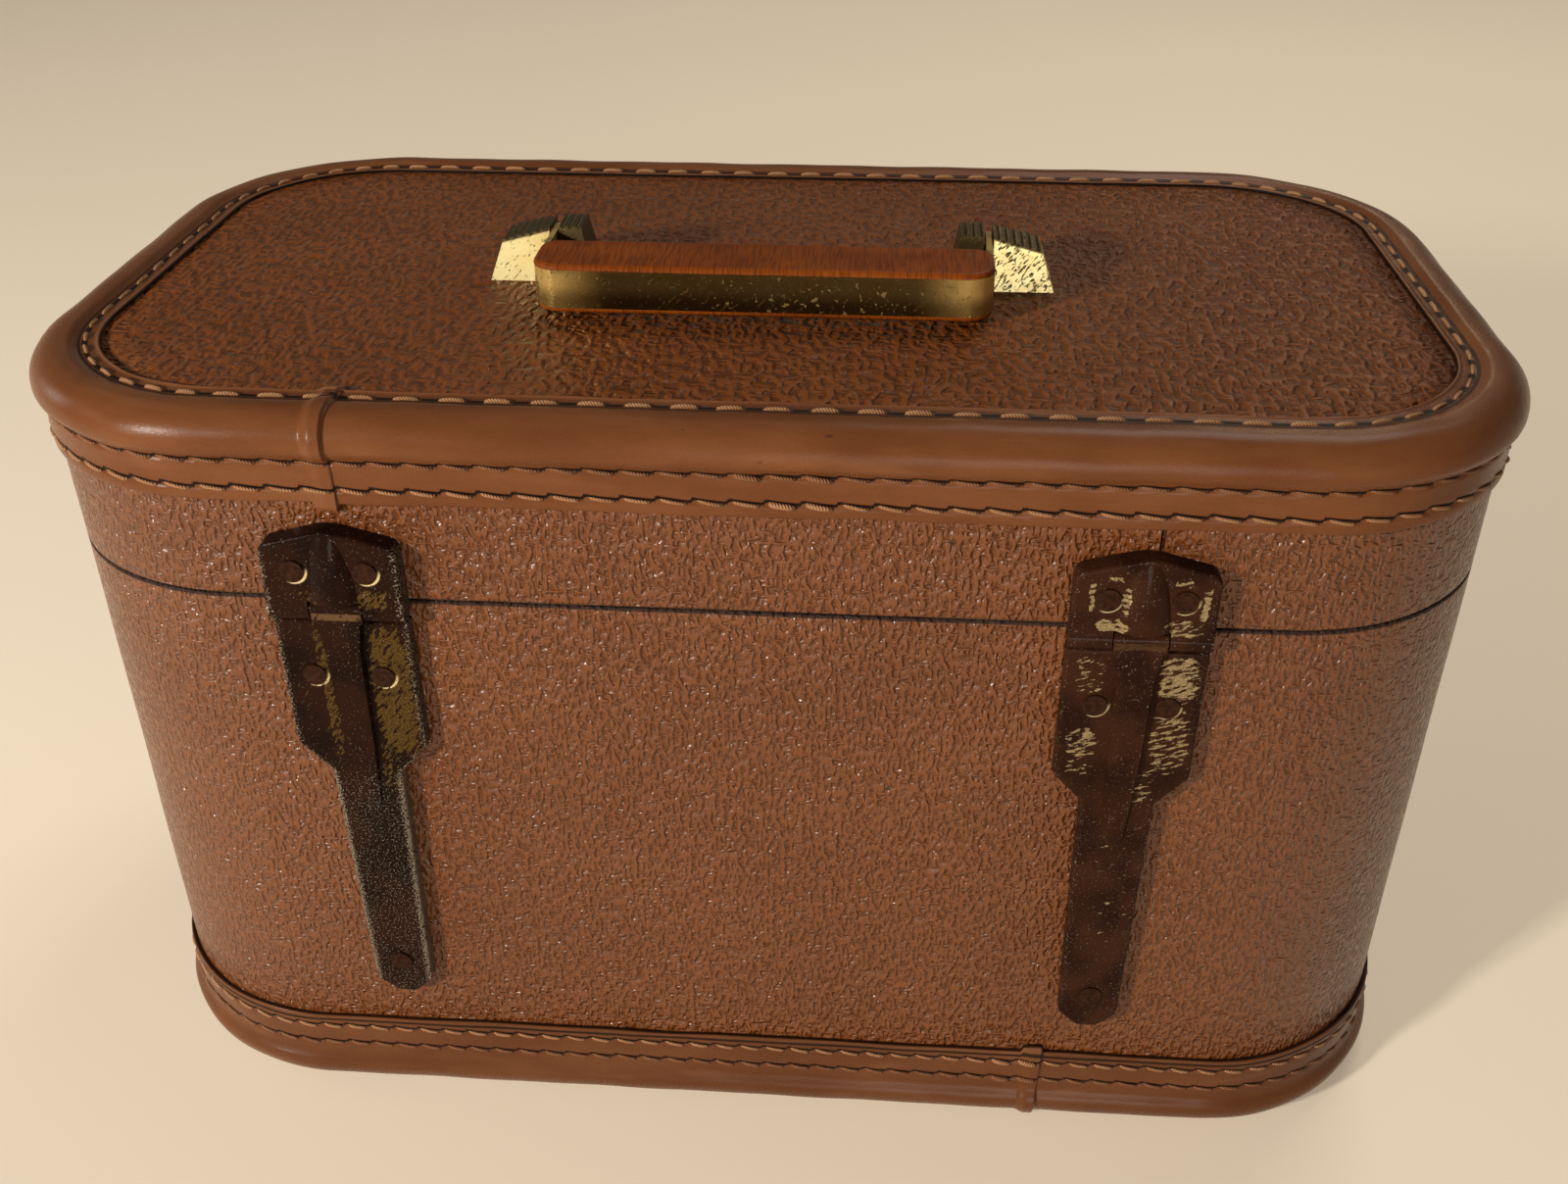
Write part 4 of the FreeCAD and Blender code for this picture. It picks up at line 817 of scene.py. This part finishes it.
def hinge_lacquer(middle, tones, patches, bare, slant, crescent_highlight, freckles, ledge):
    """Lacquer mottled from near black to red-brown. Each patch is a soft-cornered box (across, up, half
    width, half height, share) that lowers the level at which slanting streaks wear through. Painted
    highlights lie as bright crescents at the lower right of the rivets, and freckles lie along the edges,
    which taper with the strap."""

    def paint(start):
        spot = place(start)
        x, _, z = parts_of(spot)
        across = x - middle
        with_streak = across * math.cos(slant) + z * math.sin(slant)
        over_streak = z * math.cos(slant) - across * math.sin(slant)
        slanted = spot.node("ShaderNodeCombineXYZ", {}, {0: with_streak, 1: over_streak})
        streak = cloud(slanted, (0.36, 1.15, 1.0), 3.0, 0.6)
        scratch = ease(cloud(slanted, (0.45, 2.4, 1.0), 2.0, 0.5), 0.70, 0.76)
        grain = cloud(spot, (2.3, 2.3, 2.3), 3.0, 0.6)
        mottle = cloud(spot, (0.10, 0.10, 0.08), 3.0)
        wobble = cloud(spot, (0.55, 0.55, 0.45), 2.0) - 0.5
        reached = []
        for left, up, half_width, half_height, share in patches:
            sideways = ((across - left + wobble * 2.4) / half_width) ** 4.0
            upwards = ((z - up + wobble * 3.0) / half_height) ** 4.0
            reached.append((1 - ease(sideways + upwards, 0.2, 1.8)) * share)
        worn = ease(streak + either(*reached) * 0.36, 0.74, 0.80)
        bright = []
        # Painted highlight: a bright crescent at the lower right of each rivet's ring.
        for left, up in LID_RIVETS + BASE_RIVETS:
            aside, above = across - left, z - up
            far = (aside ** 2.0 + above ** 2.0) ** 0.5
            ring = 1 - ease(abs(far - RIVET_RING), 0.12, 0.45)
            bright.append(ring * ease(aside * 0.6 - above * 0.8, 1.0, 2.4) * ease(streak, 0.36, 0.46))
        shine = either(*bright) * crescent_highlight
        half = STRAP_HALF + ramp(z, STRAP_FOOT, STRAP_NECK) * STRAP_WIDENS
        from_edge = half + ramp(z, STRAP_NECK, LEAF_SHOULDER) * LEAF_WIDENS - abs(across)
        rubbed = (1 - ease(from_edge, 0.2, 2.2)) * 0.14 + ease(z, 118.0, 100.0) * 0.07
        flecks = ease(grain + rubbed * freckles, 0.64, 0.72)
        tongue = (1 - ease(abs(across), TONGUE_HALF - 0.6, TONGUE_HALF)) * ease(z, 150.5, 150.9)
        copper = tongue * (1 - ease(z, 152.3, 152.6)) * ease(streak, 0.36, 0.5) * ledge
        lacquer = tinted(ease(mottle, 0.35, 0.65), *tones)
        rusty = tinted(ease(grain, 0.5, 0.8) * 0.25, lacquer, colour(80, 45, 26))
        plated = tinted(ease(grain, 0.35, 0.65), bare[0], bare[1])
        shown = tinted(worn, rusty, plated)
        freckled = tinted(either(flecks, scratch * 0.4) * 0.85, shown, colour(150, 138, 120))
        ledged = tinted(copper, freckled, colour(104, 76, 50))
        rivet_highlighted = tinted(shine, ledged, colour(246, 226, 176))
        metal = either(worn * 0.5, flecks * 0.5, shine * 0.9)
        gloss = 0.40 + (grain - 0.5) * 0.3 + worn * 0.08 - shine * 0.2
        relief = grain * 0.4 - worn * 0.6 - scratch * 0.5 - flecks * 0.4
        return {"Base Color": rivet_highlighted, "Metallic": metal, "Roughness": gloss, "Normal": raised(relief, 0.09)}

    return paint


LACQUER = {"IOR": 1.5, "Specular IOR Level": 0.03, "Coat Weight": 0.06, "Coat Roughness": 0.12}
LEFT_LACQUER = colour(22, 9, 4), colour(40, 18, 9)
LEFT_PATCHES = [
    (9.6, 131.0, 4.9, 18.0, 0.92),
    (-5.3, 131.0, 1.4, 19.0, 0.80),
    (-9.5, 130.0, 3.6, 16.0, 0.32),
    (8.4, 156.2, 3.8, 2.4, 0.85),
    (-5.6, 156.4, 2.0, 2.2, 0.60),
    (6.0, 110.0, 2.2, 8.0, 0.65),
]
LEFT_PLATE = colour(60, 42, 16), colour(100, 75, 34)
RIGHT_LACQUER = colour(38, 17, 9), colour(58, 31, 17)
RIGHT_PATCHES = [
    (9.3, 142.6, 4.4, 5.8, 0.82),
    (9.2, 126.0, 4.6, 9.0, 0.62),
    (-9.3, 143.5, 3.4, 5.5, 0.54),
    (-9.6, 125.0, 3.4, 4.4, 0.68),
    (-9.2, 118.5, 3.6, 3.0, 0.46),
    (-6.8, 156.3, 3.2, 1.6, 1.00),
    (8.0, 156.2, 4.2, 2.2, 0.68),
    (-11.3, 163.3, 0.6, 3.8, 0.95),
    (12.1, 161.5, 0.6, 4.2, 0.90),
    (-4.3, 162.5, 0.8, 3.4, 0.80),
    (7.5, 167.2, 2.2, 0.8, 0.75),
    (-6.5, 167.8, 2.0, 0.6, 0.80),
    (5.2, 112.0, 2.4, 6.5, 0.52),
    (1.5, 85.0, 5.0, 22.0, 0.26),
]
RIGHT_PLATE = colour(128, 107, 72), colour(176, 154, 114)
# The crescent highlight share sets how strong each hinge's painted highlights round the rivets are.
LEFT_WEAR_AND_HIGHLIGHT = {"slant": 0.9, "crescent_highlight": 1.0, "freckles": 1.0, "ledge": 0.9}
RIGHT_WEAR_AND_HIGHLIGHT = {"slant": 0.30, "crescent_highlight": 0.6, "freckles": 0.25, "ledge": 0.35}
LEFT_HINGE, RIGHT_HINGE = -88.85, 83.05
hinge_looks = {
    "left": hinge_lacquer(LEFT_HINGE, LEFT_LACQUER, LEFT_PATCHES, LEFT_PLATE, **LEFT_WEAR_AND_HIGHLIGHT),
    "right": hinge_lacquer(RIGHT_HINGE, RIGHT_LACQUER, RIGHT_PATCHES, RIGHT_PLATE, **RIGHT_WEAR_AND_HIGHLIGHT),
}
for side, look in hinge_looks.items():
    lacquered = finish("hinge_lacquer_" + side, LACQUER, look)
    dress(lacquered, "hinge_lid_leaf_" + side, "hinge_base_leaf_" + side, "hinge_pin_" + side)


def rivet_lacquer(start):
    """Flat red-brown heads, rubbed and freckled with small dark pits."""
    spot = place(start)
    grain = cloud(spot, (0.9, 0.9, 0.9), 4.0, 0.65)
    tone = tinted(ease(grain, 0.35, 0.65), colour(40, 21, 13), colour(62, 36, 22))
    freckled = tinted(ease(grain, 0.66, 0.74) * 0.7, tone, colour(34, 18, 11))
    return {"Base Color": freckled, "Roughness": 0.40 + grain * 0.2, "Normal": raised(grain, 0.12)}


dress(
    finish("rivet_lacquer", {**LACQUER, "Metallic": 0.2}, rivet_lacquer),
    "hinge_lid_rivets",
    "hinge_base_rivets",
    "handle_bracket_rivets",
    "handle_pivot_left",
    "handle_pivot_right",
)

# Carrying handle: a grip covered in glossy orange-brown leather, let into a polished brass band whose ends
# turn on pins in two fluted brass brackets. The brass is tarnished dark and pitted away from the ends. The
# upper half of the band is painted less dull as a reflection, and part of the gold at its ends is a painted
# reflection too.
HANDLE_MIDDLE = -1.3
BRACKET_TOP = 209.5
BRACKET_FALL = 0.253
BAND_END = 52.45


def grip_leather(start):
    """Fine lines across the grip, a few of them deep, under a satin finish that is darker in the lines."""
    spot = place(start)
    lines = cloud(spot, (1.9, 0.12, 0.2), 3.0, 0.6)
    deep = ease(cloud(spot, (0.8, 0.05, 0.08), 2.0), 0.58, 0.72)
    mottle = cloud(spot, (0.04, 0.1, 0.1), 3.0)
    tone = tinted(ease(mottle, 0.3, 0.7), colour(126, 57, 8), colour(146, 71, 13))
    lined = tinted(ease(lines, 0.44, 0.62) * 0.6, tone, colour(76, 32, 7))
    creased = tinted(deep * 0.25, lined, colour(66, 29, 9))
    gloss = 0.34 + lines * 0.16 + mottle * 0.06
    return {"Base Color": creased, "Roughness": gloss, "Normal": raised(lines + deep * 0.4, 0.12)}


def tarnished(golds, dull, shine, tarnish_and_reflection, pitted, speckled):
    """Brass from gold to a dull tone by a function of place, which for the band also gives painted
    reflections as gold. Dark pits and pale specks are fine clouds, each cut at a level that its own function
    of place gives."""

    def paint(start):
        spot = place(start)
        film = cloud(spot, (0.11, 0.11, 0.16), 4.0, 0.6)
        x, y, z = parts_of(spot)
        slanted = spot.node("ShaderNodeCombineXYZ", {}, {0: x + z, 1: y, 2: z - x})
        pits = ease(cloud(slanted, (0.45, 0.9, 1.3), 2.0, 0.6) + pitted(spot), 0.62, 0.68)
        specks = ease(cloud(spot, (0.85, 0.85, 0.95), 2.0, 0.6) + speckled(spot), 0.66, 0.72)
        share = tarnish_and_reflection(spot, film)
        gold = tinted(ease(film, 0.35, 0.7), *golds)
        dulled = tinted(share, gold, dull)
        pocked = tinted(pits * 0.8, dulled, colour(86, 60, 26))
        freckled = tinted(specks * 0.6, pocked, colour(168, 142, 88))
        gloss = shine + share * 0.10 + either(pits, specks) * 0.3 + film * 0.06
        relief = specks * 0.4 - pits
        metal = 0.5 + share * 0.5
        normal = raised(relief, 0.10)
        return {"Base Color": freckled, "Metallic": metal, "Roughness": gloss, "Normal": normal}

    return paint


def band_tarnish_and_reflection(spot, film):
    """Dull over the middle and the lower half, gold towards both ends, most in the upper half. The upper
    half is painted a little less dull as a reflection; the gold at the ends is partly rubbed brass and partly
    a painted reflection.
    """
    x, _, z = parts_of(spot)
    ends = ease(abs(x - HANDLE_MIDDLE), 34.0, 50.0)
    # Painted reflection: the upper half is made less dull, and the gold at the ends strongest there.
    upper_reflection = ease(z, 201.0, 205.5)
    return 0.97 - ends * (0.45 + upper_reflection * 0.45) * ease(film, 0.2, 0.5) - upper_reflection * 0.12


def band_specks(spot):
    """Specks thickest below the top edge, to the right of the middle."""
    x, _, z = parts_of(spot)
    return (1 - ease(abs(x - 12.0), 10.0, 36.0)) * (1 - ease(z, 205.0, 208.5)) * 0.12 - 0.06


def few_pits(spot):
    """A level that leaves only a few pits."""
    return cloud(spot, (0.05, 0.05, 0.05)) * 0.1 - 0.06


def bracket_pits(spot):
    """Few pits on the left bracket and many on the right."""
    x, _, _ = parts_of(spot)
    return ramp(x, -20.0, 20.0) * 0.06 + 0.01


def bracket_tarnish(spot, film):
    """Dark on the fluted slopes and in the slot, bright on the faces."""
    x, _, z = parts_of(spot)
    from_slot = abs(x - HANDLE_MIDDLE) - BAND_END
    below_top = BRACKET_TOP - either(from_slot, from_slot * 0.0) * BRACKET_FALL - z
    slope = 1 - ease(below_top, 0.5, 1.1)
    inside = 1 - ease(from_slot, 1.0, 1.6)
    handled = (1 - ramp(x, -20.0, 20.0)) * 0.08
    return either(slope, inside, ease(film, 0.66, 0.82) * 0.5, handled) * 0.95


def latch_tarnish(spot, film):
    """A thin uneven brown film."""
    return ease(film, 0.42, 0.78) * 0.7


BRASS = {"IOR": 1.5, "Specular IOR Level": 0.5}
GRIP = {"IOR": 1.5, "Specular IOR Level": 0.08, "Coat Weight": 0.03, "Coat Roughness": 0.2}
PALE_GOLD = colour(254, 238, 174), colour(246, 222, 148)
WARM_GOLD = colour(226, 190, 112), colour(206, 164, 84)
band_brass = tarnished(WARM_GOLD, colour(44, 26, 10), 0.16, band_tarnish_and_reflection, few_pits, band_specks)
bracket_brass = tarnished(PALE_GOLD, colour(66, 50, 25), 0.36, bracket_tarnish, bracket_pits, few_pits)
dress(finish("grip_leather", GRIP, grip_leather), "handle_grip")
dress(finish("band_brass", BRASS, band_brass), "handle_band")
dress(finish("bracket_brass", BRASS, bracket_brass), "handle_bracket_left", "handle_bracket_right")

# Front latch: a brass hasp hung from a plate on the lid, which lies in the channel of a brass housing on the
# base and is freed by a slide button. It is riveted through the walls.
LATCH_DULL = colour(92, 66, 32)
latch_brass = tarnished(WARM_GOLD, LATCH_DULL, 0.20, latch_tarnish, few_pits, few_pits)
dress(
    finish("latch_brass", BRASS, latch_brass),
    "latch_housing",
    "latch_housing_rivets",
    "latch_button",
    "latch_lid_plate",
    "latch_lid_rivets",
    "latch_hasp_pin",
    "latch_hasp",
)

# Floor: one wide sheet of pale painted board under the case. Far away it sweeps up on all sides, which makes
# a plain background at low views too.
FLOOR_HALF = 10000.0
FLOOR_SWEEP, FLOOR_RISE = 4500.0, 1700.0
FLOOR_LEVEL = -0.2
FLOOR_POINTS = 61
FLOOR_RAYS = ("Camera", "Glossy", "Transmission")
FLOOR_GLOW = (0.28, 0.225, 0.16, 1.0)


def painted_floor(start):
    """Matt pale paint with the faintest clouding. Seen straight on or in a reflection, it glows a little, so
    that it looks paler without lighting the case."""
    spot = place(start)
    clouding = cloud(spot, (0.002, 0.002, 0.002), 3.0)
    pale = tinted(clouding, colour(226, 212, 190), colour(232, 219, 198))
    rays = [start.node("ShaderNodeLightPath", {}, {}, f"Is {kind} Ray") for kind in FLOOR_RAYS]
    glow = tinted(either(*rays), (0.0, 0.0, 0.0, 1.0), FLOOR_GLOW)
    return {"Base Color": pale, "Roughness": 0.6 + clouding * 0.1, "Emission Color": glow}


FLOOR_PAINT = {"Specular IOR Level": 0.2, "Emission Strength": 1.0}
floor_sides = np.linspace(-FLOOR_HALF, FLOOR_HALF, FLOOR_POINTS)
floor_x, floor_y = np.meshgrid(floor_sides, floor_sides, indexing="ij")
sweep = FLOOR_RISE * smooth(np.hypot(floor_x, floor_y), FLOOR_SWEEP, FLOOR_HALF)
floor_points = np.stack([floor_x, floor_y, FLOOR_LEVEL + sweep], axis=-1)
floor = put_surface("floor", floor_points, floor_points[..., :2])
floor.data.materials.append(finish("painted_floor", FLOOR_PAINT, painted_floor))

# Studio light: a small lamp low at the front left that makes the emboss sparkle, a weak wide one in front, a
# soft one high behind on the right that fills the far walls, two faint ones at the left and behind, and a dim
# surround.
world = bpy.data.worlds.new("studio")
world.use_nodes = True
surround = world.node_tree.nodes["Background"]
surround.inputs["Color"].default_value = (1.0, 0.97, 0.93, 1.0)
surround.inputs["Strength"].default_value = 0.10
bpy.context.scene.world = world
AIM = np.array([0.0, 0.0, 0.1])
WARM_WHITE = (1.0, 0.95, 0.88)
AMBER = (1.0, 0.80, 0.50)


def lamp(name, spot, size, watts, tint):
    """Square lamp that faces the case."""
    light = bpy.data.lights.new(name, "AREA")
    light.size = size
    light.energy = watts
    light.color = tint
    made = bpy.data.objects.new(name, light)
    back = np.array(spot) - AIM
    back = back / np.linalg.norm(back)
    side = np.cross([0.0, 0.0, 1.0], back)
    side = side / np.linalg.norm(side)
    turn = np.column_stack([side, np.cross(back, side), back])
    made.matrix_world = Matrix.Translation(spot) @ Matrix(turn.tolist()).to_4x4()
    bpy.context.scene.collection.objects.link(made)


lamp("key_lamp", (-0.95, -0.96, 0.60), 0.11, 17.4, WARM_WHITE)
lamp("front_lamp", (0.22, -1.60, 0.30), 0.4, 5.2, WARM_WHITE)
lamp("fill_lamp", (0.55, 1.00, 1.70), 0.8, 9.5, WARM_WHITE)
lamp("back_lamp", (-1.65, 0.30, 0.45), 0.4, 2.0, WARM_WHITE)
lamp("glint_lamp", (0.50, 1.30, 0.85), 0.15, 0.6, AMBER)

# Camera: in front of the hinge wall, a little to the right, looking down on the case as the photograph does.
LENS_PIXELS = 1593.778
IMAGE_WIDTH = 1600
CAMERA_PLACE = (28.403, -369.644, 335.007)
YAW, PITCH, ROLL_ANGLE = np.radians([-4.187, 32.0313, -0.1883])
ahead = np.array([math.sin(YAW) * math.cos(PITCH), math.cos(YAW) * math.cos(PITCH), -math.sin(PITCH)])
level_right = np.array([math.cos(YAW), -math.sin(YAW), 0.0])
level_up = np.cross(level_right, ahead)
camera_right = level_right * math.cos(ROLL_ANGLE) + level_up * math.sin(ROLL_ANGLE)
camera_up = level_up * math.cos(ROLL_ANGLE) - level_right * math.sin(ROLL_ANGLE)
camera_turn = Matrix(np.column_stack([camera_right, camera_up, -ahead]).tolist()).to_4x4()
camera = bpy.data.objects.new("camera", bpy.data.cameras.new("camera"))
camera.data.sensor_width = 36.0
camera.data.lens = LENS_PIXELS * camera.data.sensor_width / IMAGE_WIDTH
camera.data.clip_start = 0.01
camera.matrix_world = Matrix.Translation(np.array(CAMERA_PLACE) * MM) @ camera_turn
bpy.context.scene.collection.objects.link(camera)
bpy.context.scene.camera = camera
bpy.context.scene.view_settings.view_transform = "Standard"
